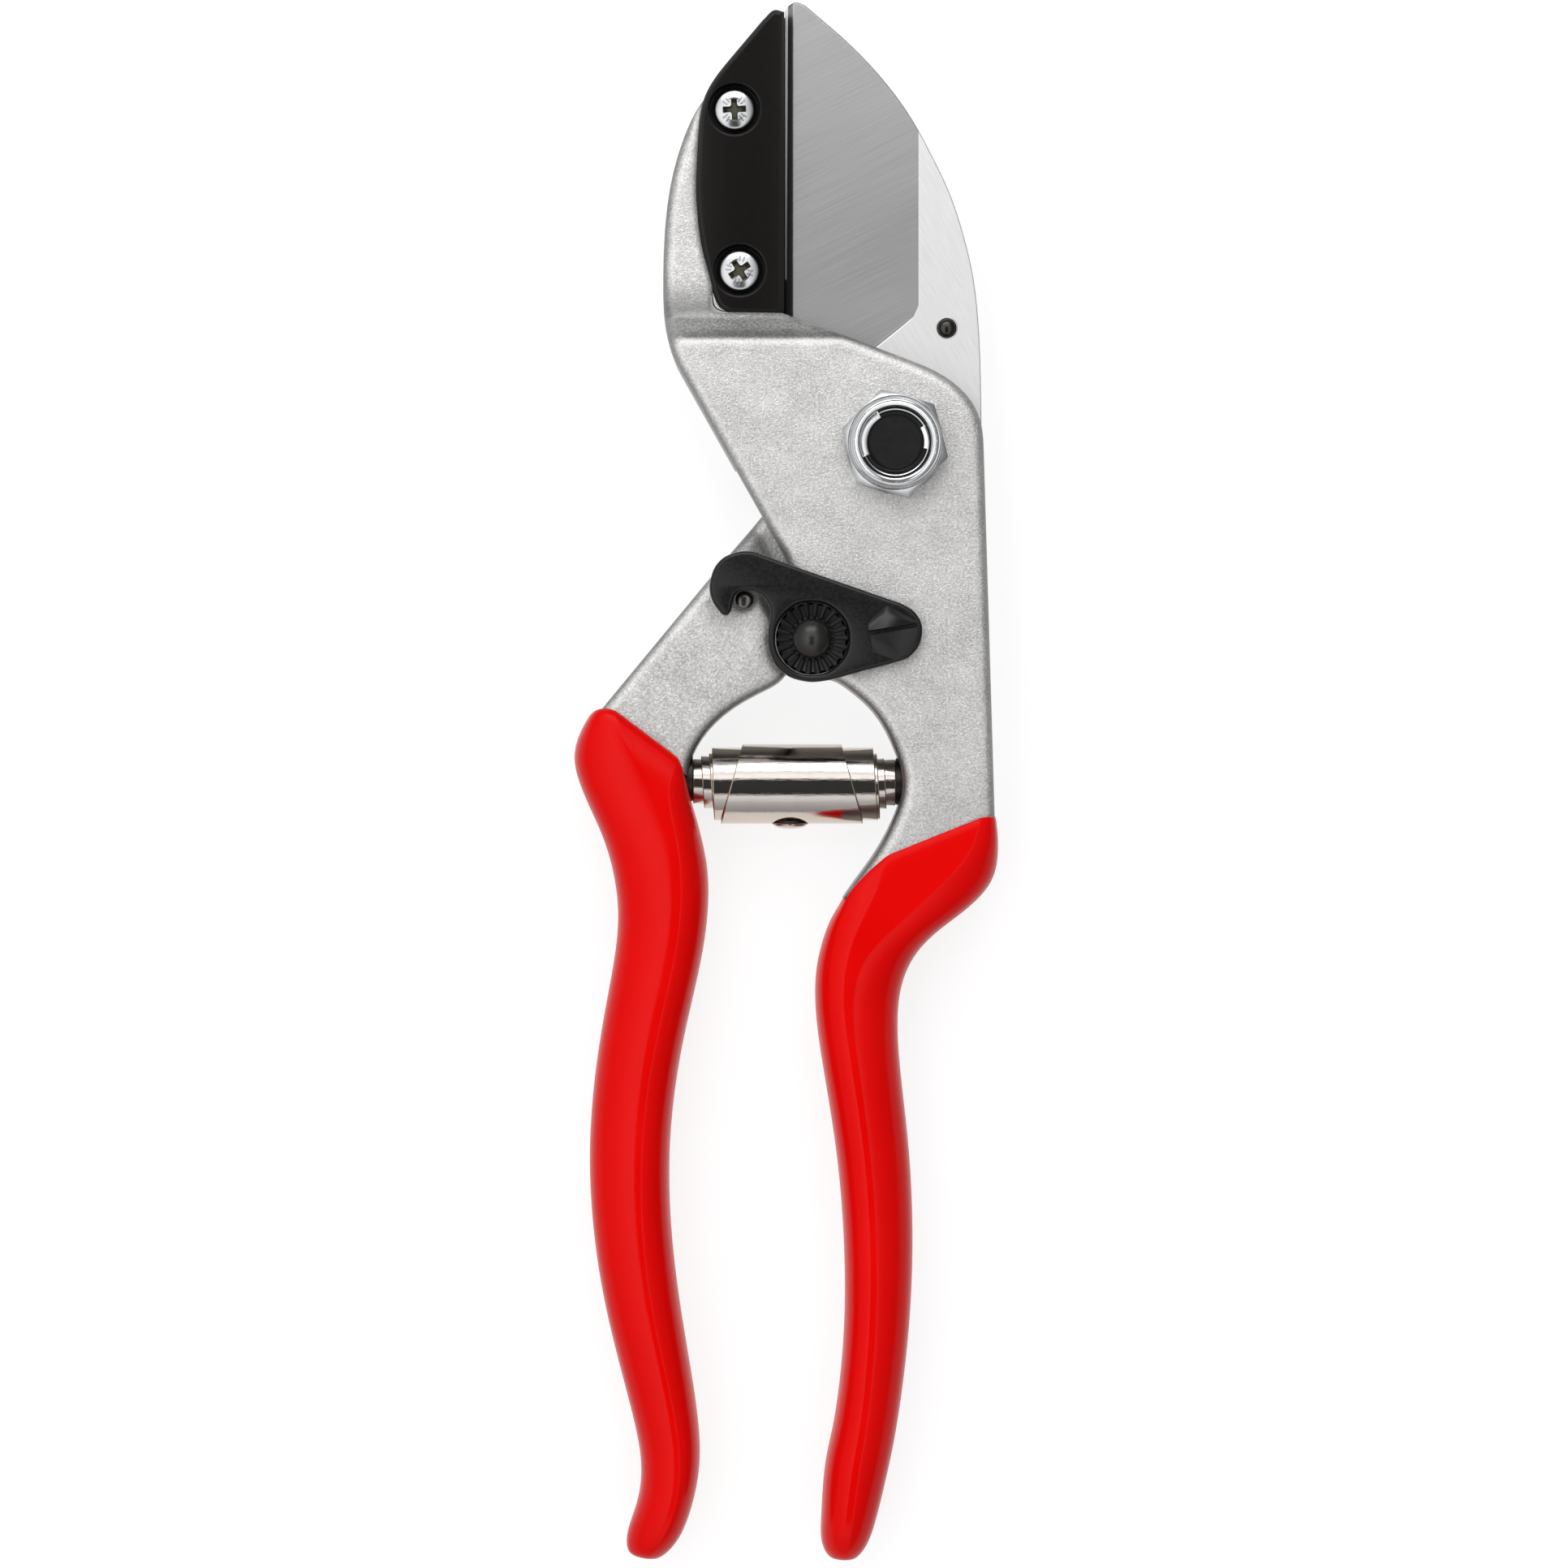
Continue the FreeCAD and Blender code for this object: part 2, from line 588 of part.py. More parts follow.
def make_cutting_blade():
    r = blade_heel_radius
    foot = (edge_x, blade_foot_y)
    runs = [[foot, blade_tip[0]], blade_tip, blade_back + [(r, 0.0)],
            ("arc", [(r, 0.0), (0.0, -r), (-r, 0.0)]), [(-r, 0.0), blade_neck], [blade_neck, foot]]
    body = slab(closed_face(runs, blade_back_z), blade_thickness)
    bevel_area = slab(polygon([(bevel_line_x, far)] + bevel_corner + [(bevel_corner[-1][0], far)], 0), far)
    inner_x = edge_x + edge_bevel_width
    beyond_x = edge_x - edge_bevel_width
    for side in (1, -1):
        face_z = blade_middle_z + side * blade_thickness / 2
        inner_z = face_z - side * edge_bevel_drop
        edge_z = blade_middle_z + side * edge_thickness / 2
        clear_z = blade_middle_z + side * blade_thickness
        wedge = [(bevel_line_x, face_z), (inner_x, inner_z), (edge_x, edge_z), (beyond_x, edge_z),
                 (beyond_x, clear_z), (bevel_line_x, clear_z)]
        tool = cut_prism(wedge, vec(1, 0), vec(0, 0), 2 * far)
        body = body.cut(tool.common(bevel_area))
    body = body.cut(cylinder(bolt_radius, 0, far))
    body = body.cut(cylinder(dowel_radius, 0, far, dowel_place))
    return one_solid(body)


def make_blade_dowel():
    top = blade_front_z + dowel_stand
    pin = cylinder(dowel_radius, rear_head_back_z + dowel_floor, top, dowel_place)
    return pin.makeFillet(dowel_stand, edges_at(pin, top))


def make_pivot_bolt():
    head = cylinder(bolt_head_radius, 0, bolt_head_height)
    head = head.makeChamfer(bolt_head_chamfer, edges_at(head, 0))
    side = bolt_neck_side
    neck = Part.makeBox(side, side, rear_head_thickness, vec(-side / 2, -side / 2, rear_head_back_z))
    neck = neck.common(cylinder(bolt_neck_radius, 0, far))
    shank = cylinder(bolt_radius, blade_back_z, nut_mouth_z)
    end = cylinder(bolt_end_radius, nut_mouth_z, bolt_end_z)
    end = end.makeChamfer(bolt_end_chamfer, edges_at(end, bolt_end_z))
    return one_solid(head.fuse([neck, shank, end]))


def make_pivot_bush():
    return cylinder(bush_radius, blade_front_z, nut_back_z).cut(cylinder(bolt_radius, 0, far))


def make_pivot_nut():
    points = [turned((nut_corner_radius, 0), nut_turn + 60 * i) for i in range(6)]
    hexagon = slab(polygon(points, nut_back_z), nut_hex_height)
    slope = math.tan(math.radians(nut_chamfer_angle))
    top_radius = nut_across_flats / 2 - nut_top_inset
    apex_z = nut_hex_top_z + top_radius * slope
    cone = Part.makeCone(far, 0, far * slope, vec(0, 0, apex_z - far * slope))
    hexagon = hexagon.common(cone)
    collar = cylinder(nut_collar_radius, nut_hex_top_z - nut_top_inset, nut_top_z)
    collar = collar.makeFillet(nut_collar_edge_radius, edges_at(collar, nut_top_z))
    body = hexagon.fuse(collar)
    body = body.cut(cylinder(nut_mouth_radius, nut_mouth_z, far))
    body = body.cut(cylinder(bolt_radius, 0, far))
    return one_solid(body)


def make_nut_lock_ring():
    top_z = nut_mouth_z + lock_ring_thickness
    band = nut_mouth_radius - lock_ring_width
    ring = cylinder(nut_mouth_radius, nut_mouth_z, top_z).cut(cylinder(band, 0, far))
    for start, end in lock_ring_tabs:
        tab = Part.makeCylinder(band + running_clearance, lock_ring_thickness, vec(0, 0, nut_mouth_z),
                                vec(0, 0, 1), end - start)
        tab.rotate(vec(0, 0), vec(0, 0, 1), start)
        ring = ring.fuse(tab.cut(cylinder(lock_ring_tab_radius, 0, far)))
    return one_solid(ring)


def lever_outline(z):
    runs = [lever_hook, [lever_hook[-1], lever_thumb[0]], lever_thumb, [lever_thumb[-1], lever_hook[0]]]
    return closed_face(runs, z)


def thumb_rib():
    """The ridge across the lever's thumb end, before it is trimmed to the lever's outline."""
    x, y = thumb_rib_place
    along = vec(*turned((1, 0), thumb_rib_angle))
    across = vec(-along.y, along.x)
    root_z = lever_front_z - thumb_rib_root
    half = thumb_rib_width / 2
    profile = [(-half, root_z), (half, root_z), (0, lever_front_z + thumb_rib_height)]
    return cut_prism(profile, across, vec(x, y), thumb_rib_length)


def make_catch_lever():
    body = slab(lever_outline(lever_back_z), lever_thickness)
    body = body.makeFillet(lever_edge_radius, edges_at(body, lever_front_z))
    body = body.fuse(thumb_rib().common(slab(lever_outline(lever_back_z), far)))
    rim_radius = lever_pocket_radius + lever_rim_wall
    body = body.fuse(cylinder(rim_radius, lever_floor_z, lever_front_z + lever_rim_height, catch_centre))
    body = body.cut(cylinder(lever_pocket_radius, lever_floor_z, far, catch_centre))
    body = body.cut(cylinder(rivet_radius + running_clearance, 0, far, catch_centre))
    washer_room_z = front_face_z + spring_washer_thickness + running_clearance
    body = body.cut(cylinder(spring_washer_radius + spring_washer_clearance, 0, washer_room_z, catch_centre))
    return one_solid(body)


def make_catch_rivet():
    x, y = catch_centre
    r = rivet_dome_radius
    h = rivet_dome_height
    ball = (r * r + h * h) / (2 * h)
    dome = Part.makeSphere(ball, vec(x, y, rivet_dome_z + h - ball))
    dome = dome.common(cylinder(ball, rivet_dome_z, far, catch_centre))
    shank = cylinder(rivet_radius, front_head_back_z + rivet_floor, rivet_dome_z, catch_centre)
    return one_solid(dome.fuse(shank))


def make_catch_toothed_washer():
    x, y = catch_centre
    radius = lever_pocket_radius - toothed_washer_clearance
    body = cylinder(radius, toothed_washer_z, rivet_dome_z, catch_centre)
    body = body.cut(cylinder(rivet_radius, 0, far, catch_centre))
    width = math.pi * rivet_dome_radius / tooth_count
    start = vec(x + rivet_dome_radius + tooth_start, y - width / 2, rivet_dome_z - tooth_depth)
    for i in range(tooth_count):
        groove = Part.makeBox(radius, width, tooth_depth, start)
        groove.rotate(vec(x, y), vec(0, 0, 1), 360 * i / tooth_count)
        body = body.cut(groove)
    return one_solid(body)


def make_catch_spring_washer():
    ring = cylinder(spring_washer_radius, front_face_z, front_face_z + spring_washer_thickness, catch_centre)
    return ring.cut(cylinder(rivet_radius + running_clearance, 0, far, catch_centre))


def make_catch_pin():
    pin = cylinder(catch_pin_radius, rear_arm_front_z - catch_pin_depth, front_face_z, catch_pin_place)
    return pin.makeFillet(catch_pin_edge_radius, edges_at(pin, front_face_z))


def make_seat(face_x, y, outward):
    """A spring seat: a flange, a peg inside the spring and a stem in the casting. outward is the X
    direction of the stem."""
    back_x = face_x + outward * seat_thickness
    peg_end_x = face_x - outward * seat_peg_length
    stem_end_x = back_x + outward * seat_stem_length
    flange = x_cylinder(seat_radius, face_x, back_x, y, grip_middle_z)
    peg = x_cylinder(seat_peg_radius, face_x, peg_end_x, y, grip_middle_z)
    stem = x_cylinder(seat_stem_radius, back_x, stem_end_x, y, grip_middle_z)
    return one_solid(flange.fuse([peg, stem]))


def make_volute_spring():
    """The spring's closed envelope: a barrel with its outer wrap, and tubes that step down to the seats."""
    z = grip_middle_z
    middle_x = (left_seat_face_x + right_seat_face_x) / 2
    ends = [(left_seat_face_x, left_seat_y, spring_tube_step),
            (right_seat_face_x, right_seat_y, -spring_tube_step)]
    body = None
    for face_x, y, step in ends:
        tubes = [(seat_radius - spring_end_inset, y),
                 (seat_radius - spring_end_inset + spring_tube_growth, y),
                 (spring_barrel_radius, spring_axis_y),
                 (spring_wrap_radius, spring_axis_y)]
        for i, (radius, tube_y) in enumerate(tubes):
            tube = x_cylinder(radius, face_x + i * step, middle_x, tube_y, z)
            body = body.fuse(tube) if body else tube
    for face_x, y, step in ends:
        body = body.cut(x_cylinder(seat_peg_radius + spring_bore_clearance, face_x - step, middle_x, y, z))
    return one_solid(body)


def make_all():
    parts = {
        "anvil_handle": make_anvil_handle(),
        "right_grip": make_right_grip(),
        "anvil": make_anvil(),
        "catch_rivet": make_catch_rivet(),
        "catch_toothed_washer": make_catch_toothed_washer(),
        "catch_spring_washer": make_catch_spring_washer(),
        "right_spring_seat": make_seat(right_seat_face_x, right_seat_y, 1),
        "blade_handle": make_blade_handle(),
        "left_grip": make_left_grip(),
        "cutting_blade": make_cutting_blade(),
        "blade_dowel": make_blade_dowel(),
        "pivot_bolt": make_pivot_bolt(),
        "pivot_bush": make_pivot_bush(),
        "pivot_nut": make_pivot_nut(),
        "nut_lock_ring": make_nut_lock_ring(),
        "catch_pin": make_catch_pin(),
        "left_spring_seat": make_seat(left_seat_face_x, left_seat_y, -1),
        "catch_lever": make_catch_lever(),
        "volute_spring": make_volute_spring(),
    }
    for name in screw_places:
        parts["anvil_screw_" + name] = make_anvil_screw(name)
    return parts


os.makedirs("parts", exist_ok=True)
for node, shape in make_all().items():
    shape.exportStep("parts/" + node + ".step")
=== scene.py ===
import math

import bmesh
import bpy
from mathutils import Matrix, Vector


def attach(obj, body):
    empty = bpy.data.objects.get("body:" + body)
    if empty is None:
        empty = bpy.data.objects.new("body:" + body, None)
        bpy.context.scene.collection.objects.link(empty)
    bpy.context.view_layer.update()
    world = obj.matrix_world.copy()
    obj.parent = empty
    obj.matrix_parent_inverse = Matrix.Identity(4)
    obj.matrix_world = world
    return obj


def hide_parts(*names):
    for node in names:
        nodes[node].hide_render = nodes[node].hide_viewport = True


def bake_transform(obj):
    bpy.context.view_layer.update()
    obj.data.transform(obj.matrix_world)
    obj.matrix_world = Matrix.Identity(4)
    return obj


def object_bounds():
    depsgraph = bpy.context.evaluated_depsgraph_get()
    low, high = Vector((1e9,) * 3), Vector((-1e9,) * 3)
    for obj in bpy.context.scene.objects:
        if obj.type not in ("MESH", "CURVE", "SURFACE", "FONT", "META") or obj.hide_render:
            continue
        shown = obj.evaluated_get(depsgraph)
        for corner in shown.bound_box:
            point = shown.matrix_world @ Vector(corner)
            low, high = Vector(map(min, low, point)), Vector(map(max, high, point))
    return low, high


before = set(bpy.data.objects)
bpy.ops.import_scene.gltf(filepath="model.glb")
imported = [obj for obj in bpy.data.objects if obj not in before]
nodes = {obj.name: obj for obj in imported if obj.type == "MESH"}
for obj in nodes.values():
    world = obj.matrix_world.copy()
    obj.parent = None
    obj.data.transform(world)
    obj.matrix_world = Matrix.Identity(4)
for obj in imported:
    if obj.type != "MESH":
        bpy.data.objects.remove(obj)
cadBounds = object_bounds()
mm = 0.001
scene = bpy.context.scene
scene.view_settings.view_transform = "Standard"


# shared helpers for materials and pieces
def newTree(name):
    material = bpy.data.materials.new(name)
    material.use_nodes = True
    tree = material.node_tree
    tree.nodes.clear()
    return material, tree


def addNode(tree, kind, inputs=None, **settings):
    node = tree.nodes.new(kind)
    for key, value in settings.items():
        setattr(node, key, value)
    for key, value in (inputs or {}).items():
        if isinstance(value, bpy.types.NodeSocket):
            tree.links.new(value, node.inputs[key])
        else:
            node.inputs[key].default_value = value
    return node


def calc(tree, operation, first, second=0.0):
    return addNode(tree, "ShaderNodeMath", {0: first, 1: second}, operation=operation).outputs[0]


def plus(tree, total, *others):
    for value in others:
        total = calc(tree, "ADD", total, value)
    return total


def times(tree, total, *others):
    for value in others:
        total = calc(tree, "MULTIPLY", total, value)
    return total


def axes(tree, vector):
    return addNode(tree, "ShaderNodeSeparateXYZ", {"Vector": vector}).outputs


def fade(tree, value, start, end, low=0.0, high=1.0):
    inputs = {"Value": value, "From Min": start, "From Max": end, "To Min": low, "To Max": high}
    return addNode(tree, "ShaderNodeMapRange", inputs, interpolation_type="SMOOTHSTEP").outputs["Result"]


def blendColors(tree, factor, first, second):
    node = addNode(tree, "ShaderNodeMix", data_type="RGBA")
    for index, value in ((0, factor), (6, first), (7, second)):
        if isinstance(value, bpy.types.NodeSocket):
            tree.links.new(value, node.inputs[index])
        else:
            node.inputs[index].default_value = value
    return node.outputs[2]


def placeOf(tree, middle=(0, 0, 0), turn=(0, 0, 0), scale=(1, 1, 1)):
    where = addNode(tree, "ShaderNodeTexCoord").outputs["Object"]
    inputs = {"Vector": where, "Location": middle, "Rotation": turn, "Scale": scale}
    return addNode(tree, "ShaderNodeMapping", inputs, vector_type="TEXTURE").outputs["Vector"]


def noise(tree, vector, scale, detail=2.0, roughness=0.5):
    inputs = {"Vector": vector, "Scale": scale, "Detail": detail, "Roughness": roughness}
    return addNode(tree, "ShaderNodeTexNoise", inputs).outputs["Fac"]


def rounded(tree, radius):
    return addNode(tree, "ShaderNodeBevel", {"Radius": radius}, samples=6).outputs["Normal"]


def fromMiddle(tree, middle):
    inputs = {0: placeOf(tree, middle=(*middle, 0)), 1: (1, 1, 0)}
    flat = addNode(tree, "ShaderNodeVectorMath", inputs, operation="MULTIPLY").outputs["Vector"]
    return addNode(tree, "ShaderNodeVectorMath", {0: flat}, operation="LENGTH").outputs["Value"]


def bump(tree, height, distance, strength=1.0, under=None):
    inputs = {"Height": height, "Distance": distance, "Strength": strength}
    if under:
        inputs["Normal"] = under
    return addNode(tree, "ShaderNodeBump", inputs).outputs["Normal"]


def surface(tree, inputs):
    shader = addNode(tree, "ShaderNodeBsdfPrincipled", inputs)
    addNode(tree, "ShaderNodeOutputMaterial", {"Surface": shader.outputs["BSDF"]})
    return shader


def addPiece(name, mesh, *materials, sharp=None):
    # the mesh comes in millimetres; sharp is the angle above which an edge stays crisp
    bmesh.ops.scale(mesh, vec=(mm, mm, mm), verts=mesh.verts)
    data = bpy.data.meshes.new(name)
    mesh.to_mesh(data)
    mesh.free()
    for material in materials:
        data.materials.append(material)
    data.shade_smooth()
    if sharp:
        data.set_sharp_from_angle(angle=math.radians(sharp))
    piece = bpy.data.objects.new(name, data)
    scene.collection.objects.link(piece)
    return piece


def spun(profile, middle, steps):
    mesh = bmesh.new()
    verts = [mesh.verts.new((middle[0] + r, middle[1], z)) for r, z in profile]
    edges = [mesh.edges.new(pair) for pair in zip(verts, verts[1:])]
    bmesh.ops.spin(mesh, geom=verts + edges, cent=(*middle, 0), axis=(0, 0, 1), angle=2 * math.pi,
                   steps=steps, use_merge=True)
    bmesh.ops.remove_doubles(mesh, verts=mesh.verts, dist=0.0005)
    bmesh.ops.recalc_face_normals(mesh, faces=mesh.faces)
    return mesh


def flatMesh(curve):
    # a flat filled curve as a mesh
    holder = bpy.data.objects.new(curve.name, curve)
    scene.collection.objects.link(holder)
    bpy.context.view_layer.update()
    data = bpy.data.meshes.new_from_object(holder.evaluated_get(bpy.context.evaluated_depsgraph_get()))
    bpy.data.objects.remove(holder)
    return data


def finishNode(material, *names):
    for name in names:
        for slot in nodes[name].material_slots:
            slot.material = material


# the castings
casting = {
    "bright": (0.95, 0.937, 0.928, 1),
    "worn": (0.30, 0.296, 0.291, 1),
    # painted shade: the side faces take darker colours than the top
    "side": (0.36, 0.36, 0.355, 1),
    "shadedSideDark": (0.20, 0.20, 0.195, 1),
    # painted highlight: a white band on the slight tilt just inside the rounded edges
    "rim": (1.0, 1.0, 0.99, 1),
    "rimHighlightWeight": 0.24,
    # each pattern: scale, detail and roughness, then the noise levels and the tones that they turn into
    "tones": {
        "grain": ((5200, 2.0, 0.6), (0.56, 0.68, 0.0, 0.42)),
        "fleck": ((2600, 2.0, 0.6), (0.3, 0.7, 0.08, 0.36)),
        "cloud": ((700, 4.0, 0.6), (0.3, 0.7, 0.05, 0.14)),
        "mottle": ((130, 5.0, 0.62), (0.3, 0.7, 0.03, 0.17)),
    },
    "paler": (-0.05, 0.05, -0.06, 0.06),
    # painted shade: the jaw's cheek is darkened towards the slope below the anvil, where the real surface
    # falls away: two fades along Y, one along X
    "cheek": ((0.0243, 0.0178), (0.0170, 0.0182), (-0.0238, -0.0254)),
    "cheekShade": (0.17, 0.17, 0.168, 1),
    "cheekWeight": 0.8,
    # painted shade on the slope below the anvil, darker towards its foot
    "slope": ((0.0140, 0.0150), (0.0192, 0.0180), (-0.0318, -0.0268)),
    "slopeShadeDark": (0.16, 0.16, 0.158, 1),
    "slopeShadeLight": (0.78, 0.775, 0.765, 1),
    "foot": (0.0168, 0.0148, 0.0, 0.55),
    "footShade": (0.07, 0.07, 0.069, 1),
    "roughness": 0.42,
    "edge": 0.0017,
}


def castAluminium():
    material, tree = newTree("castAluminium")
    where = placeOf(tree)
    x, y, _ = axes(tree, where)
    patterns = {name: noise(tree, where, *look) for name, (look, _) in casting["tones"].items()}
    tones = [fade(tree, patterns[name], *levels) for name, (_, levels) in casting["tones"].items()]
    tone = plus(tree, *tones, fade(tree, y, *casting["paler"]))
    soft = rounded(tree, casting["edge"])
    facing = axes(tree, soft)["Z"]
    front = fade(tree, facing, 0.0, 0.4)
    upward = calc(tree, "ABSOLUTE", facing)
    top = blendColors(tree, tone, casting["worn"], casting["bright"])
    # painted highlight along the rounded edges
    rim = times(tree, fade(tree, upward, 0.997, 0.975), fade(tree, upward, 0.90, 0.96), casting["rimHighlightWeight"])
    top = blendColors(tree, rim, top, casting["rim"])
    # painted shade on the jaw's cheek
    near, far, inward = casting["cheek"]
    cheek = times(tree, fade(tree, y, *near), fade(tree, x, *inward), fade(tree, y, *far), front,
                  casting["cheekWeight"])
    top = blendColors(tree, cheek, top, casting["cheekShade"])
    # painted shade: faces turned away from the top get the darker side colours
    shadedFlank = blendColors(tree, tone, casting["shadedSideDark"], casting["side"])
    color = blendColors(tree, fade(tree, upward, 0.93, 0.55), top, shadedFlank)
    # painted shade: the slope takes darker colours, darkest at its foot
    low, high, outward = casting["slope"]
    slope = times(tree, fade(tree, upward, 0.97, 0.88), fade(tree, y, *low), fade(tree, y, *high),
                  fade(tree, x, *outward), front)
    foot = blendColors(tree, tone, casting["slopeShadeDark"], casting["slopeShadeLight"])
    foot = blendColors(tree, fade(tree, y, *casting["foot"]), foot, casting["footShade"])
    rough = plus(tree, fade(tree, patterns["grain"], 0.3, 0.7, -0.06, 0.06), casting["roughness"])
    height = plus(tree, patterns["grain"], times(tree, patterns["fleck"], 0.9))
    surface(tree, {
        "Base Color": blendColors(tree, slope, color, foot),
        "Metallic": 1.0,
        "Roughness": rough,
        "Normal": bump(tree, height, 0.00005, 0.9, soft),
    })
    return material


finishNode(castAluminium(), "anvil_handle", "blade_handle")
print("castings finished")


# the dipped vinyl grips
vinyl = {
    "red": (0.815, 0.0014, 0.0009, 1),
    "deep": (0.785, 0.0009, 0.0005, 1),
    "roughness": 0.2,
    "shine": 0.09,
    "haze": (0.8, 0.45, (1.0, 0.05, 0.045, 1)),  # how much, how rough, its tint
}


def redVinyl():
    material, tree = newTree("redVinyl")
    where = placeOf(tree)
    cloud = noise(tree, where, 60, 3.0)
    skin = noise(tree, where, 900, 3.0)
    haze, hazeRoughness, hazeTint = vinyl["haze"]
    surface(tree, {
        "Base Color": blendColors(tree, fade(tree, cloud, 0.35, 0.65), vinyl["deep"], vinyl["red"]),
        "Roughness": fade(tree, cloud, 0.3, 0.7, vinyl["roughness"] - 0.03, vinyl["roughness"] + 0.03),
        "Specular IOR Level": vinyl["shine"],
        "Sheen Weight": haze,
        "Sheen Roughness": hazeRoughness,
        "Sheen Tint": hazeTint,
        "Normal": bump(tree, skin, 0.00001, 0.4),
    })
    return material


# what both grips share: a section's points, from a crest to its side and along the back, then its finish
gripShape = {
    "curve": (0.0, 0.14, 0.45, 0.76, 0.93, 1.0),
    "back": (0.93, 0.74, 0.4, 0.0, -0.4, -0.74, -0.93),
    "tilt": (0.09, 0.12),
    "spread": 1.01,
    "turnedIn": 2.4,
    "creased": (5, 6),
    "crease": 0.42,
    "smooth": 3,
}
# bow: how far the lip bows out, its skew, how flat its top is, and its lift
# lip, one ring each: share of the way to the second station, inset, share of the bow
# stations: left point, right point, back and front height, the crest's two sides as shares of the width,
# and how boxy the section is
leftGrip = {
    "name": "left_grip_skin",
    "body": "blade_side",
    "node": "left_grip",
    "bow": (1.7, 1.0, 8, 0.1),
    "lip": ((0.0, 2.3, 1.0), (0.03, 1.6, 1.0), (0.16, 0.7, 0.9), (0.4, 0.2, 0.4)),
    "stations": [
        ((-41.6, -35.7), (-28.6, -45.3), 0.5, 14.9, 0.16, 0.88, 5.0),
        ((-43.8, -40.0), (-28.0, -48.2), 0.25, 15.1, 0.58, 0.81, 3.6),
        ((-44.5, -43.5), (-27.1, -51.0), 0.1, 15.3, 0.67, 0.79, 3.0),
        ((-42.3, -49.0), (-26.0, -55.2), 0.1, 15.5, 0.68, 0.77, 2.7),
        ((-39.3, -55.0), (-25.3, -59.6), 0.1, 15.5, 0.64, 0.73, 2.6),
        ((-37.55, -64.0), (-25.6, -66.4), 0.1, 15.5, 0.608, 0.699, 2.5),
        ((-38.9, -72.6), (-27.2, -74.2), 0.1, 15.5, 0.597, 0.695, 2.5),
        ((-40.95, -83.0), (-29.35, -83.0), 0.1, 15.5, 0.584, 0.68, 2.5),
        ((-42.2, -95.5), (-30.95, -94.5), 0.1, 15.5, 0.59, 0.668, 2.5),
        ((-41.65, -107.5), (-30.85, -106.0), 0.1, 15.4, 0.574, 0.645, 2.5),
        ((-39.8, -119.0), (-29.55, -117.4), 0.1, 15.3, 0.568, 0.631, 2.5),
        ((-36.55, -131.0), (-27.55, -128.6), 0.1, 15.1, 0.589, 0.663, 2.5),
        ((-34.5, -139.3), (-26.2, -138.6), 0.1, 14.9, 0.576, 0.668, 2.5),
        ((-35.1, -145.0), (-27.5, -145.4), 0.5, 14.4, 0.60, 0.69, 2.4),
        ((-36.9, -149.1), (-29.3, -150.4), 1.8, 13.2, 0.58, 0.68, 2.3),
        ((-36.9, -152.0), (-31.9, -152.95), 3.9, 11.2, 0.45, 0.6, 2.1),
        ((-35.6, -152.7), (-33.1, -153.05), 6.0, 9.2, 0.45, 0.6, 2.0),
    ],
}
rightGrip = {
    "name": "right_grip_skin",
    "body": "anvil_side",
    "node": "right_grip",
    "bow": (2.7, 0.95, 2, 0.1),
    "lip": ((0.0, 0.8, 1.0), (0.04, 0.35, 1.0), (0.18, 0.06, 0.9), (0.5, 0.0, 0.4)),
    "stations": [
        ((-7.0, -62.3), (14.05, -50.5), 0.5, 15.5, 0.36, 0.92, 5.0),
        ((-8.95, -65.2), (14.5, -54.9), 0.25, 15.5, 0.25, 0.80, 3.8),
        ((-9.95, -68.1), (14.3, -59.7), 0.1, 15.5, 0.20, 0.50, 3.0),
        ((-10.7, -71.3), (10.0, -63.9), 0.1, 15.5, 0.213, 0.36, 2.7),
        ((-10.95, -74.8), (4.2, -67.7), 0.1, 15.5, 0.268, 0.38, 2.6),
        ((-10.7, -79.4), (0.6, -73.6), 0.1, 15.5, 0.326, 0.427, 2.5),
        ((-9.55, -86.6), (0.5, -82.8), 0.1, 15.5, 0.372, 0.461, 2.5),
        ((-7.7, -97.4), (2.35, -96.0), 0.1, 15.5, 0.37, 0.456, 2.5),
        ((-6.7, -110.0), (2.9, -109.6), 0.1, 15.4, 0.373, 0.458, 2.5),
        ((-6.7, -122.0), (2.25, -122.6), 0.1, 15.3, 0.368, 0.475, 2.5),
        ((-8.0, -133.4), (0.65, -134.2), 0.1, 15.1, 0.396, 0.497, 2.5),
        ((-9.1, -137.6), (-0.15, -138.3), 0.1, 15.0, 0.405, 0.512, 2.5),
        ((-9.75, -141.6), (-1.0, -142.2), 0.1, 14.9, 0.42, 0.53, 2.5),
        ((-10.0, -147.0), (-2.3, -147.6), 0.5, 14.4, 0.432, 0.546, 2.4),
        ((-10.2, -150.6), (-3.4, -151.0), 1.8, 13.2, 0.42, 0.56, 2.3),
        ((-9.1, -152.7), (-5.0, -153.0), 3.9, 11.2, 0.4, 0.6, 2.1),
        ((-8.2, -153.0), (-5.9, -153.09), 6.0, 9.2, 0.4, 0.6, 2.0),
    ],
}


def between(first, second, share):
    if isinstance(first, tuple):
        return tuple(between(a, b, share) for a, b in zip(first, second))
    return first + (second - first) * share


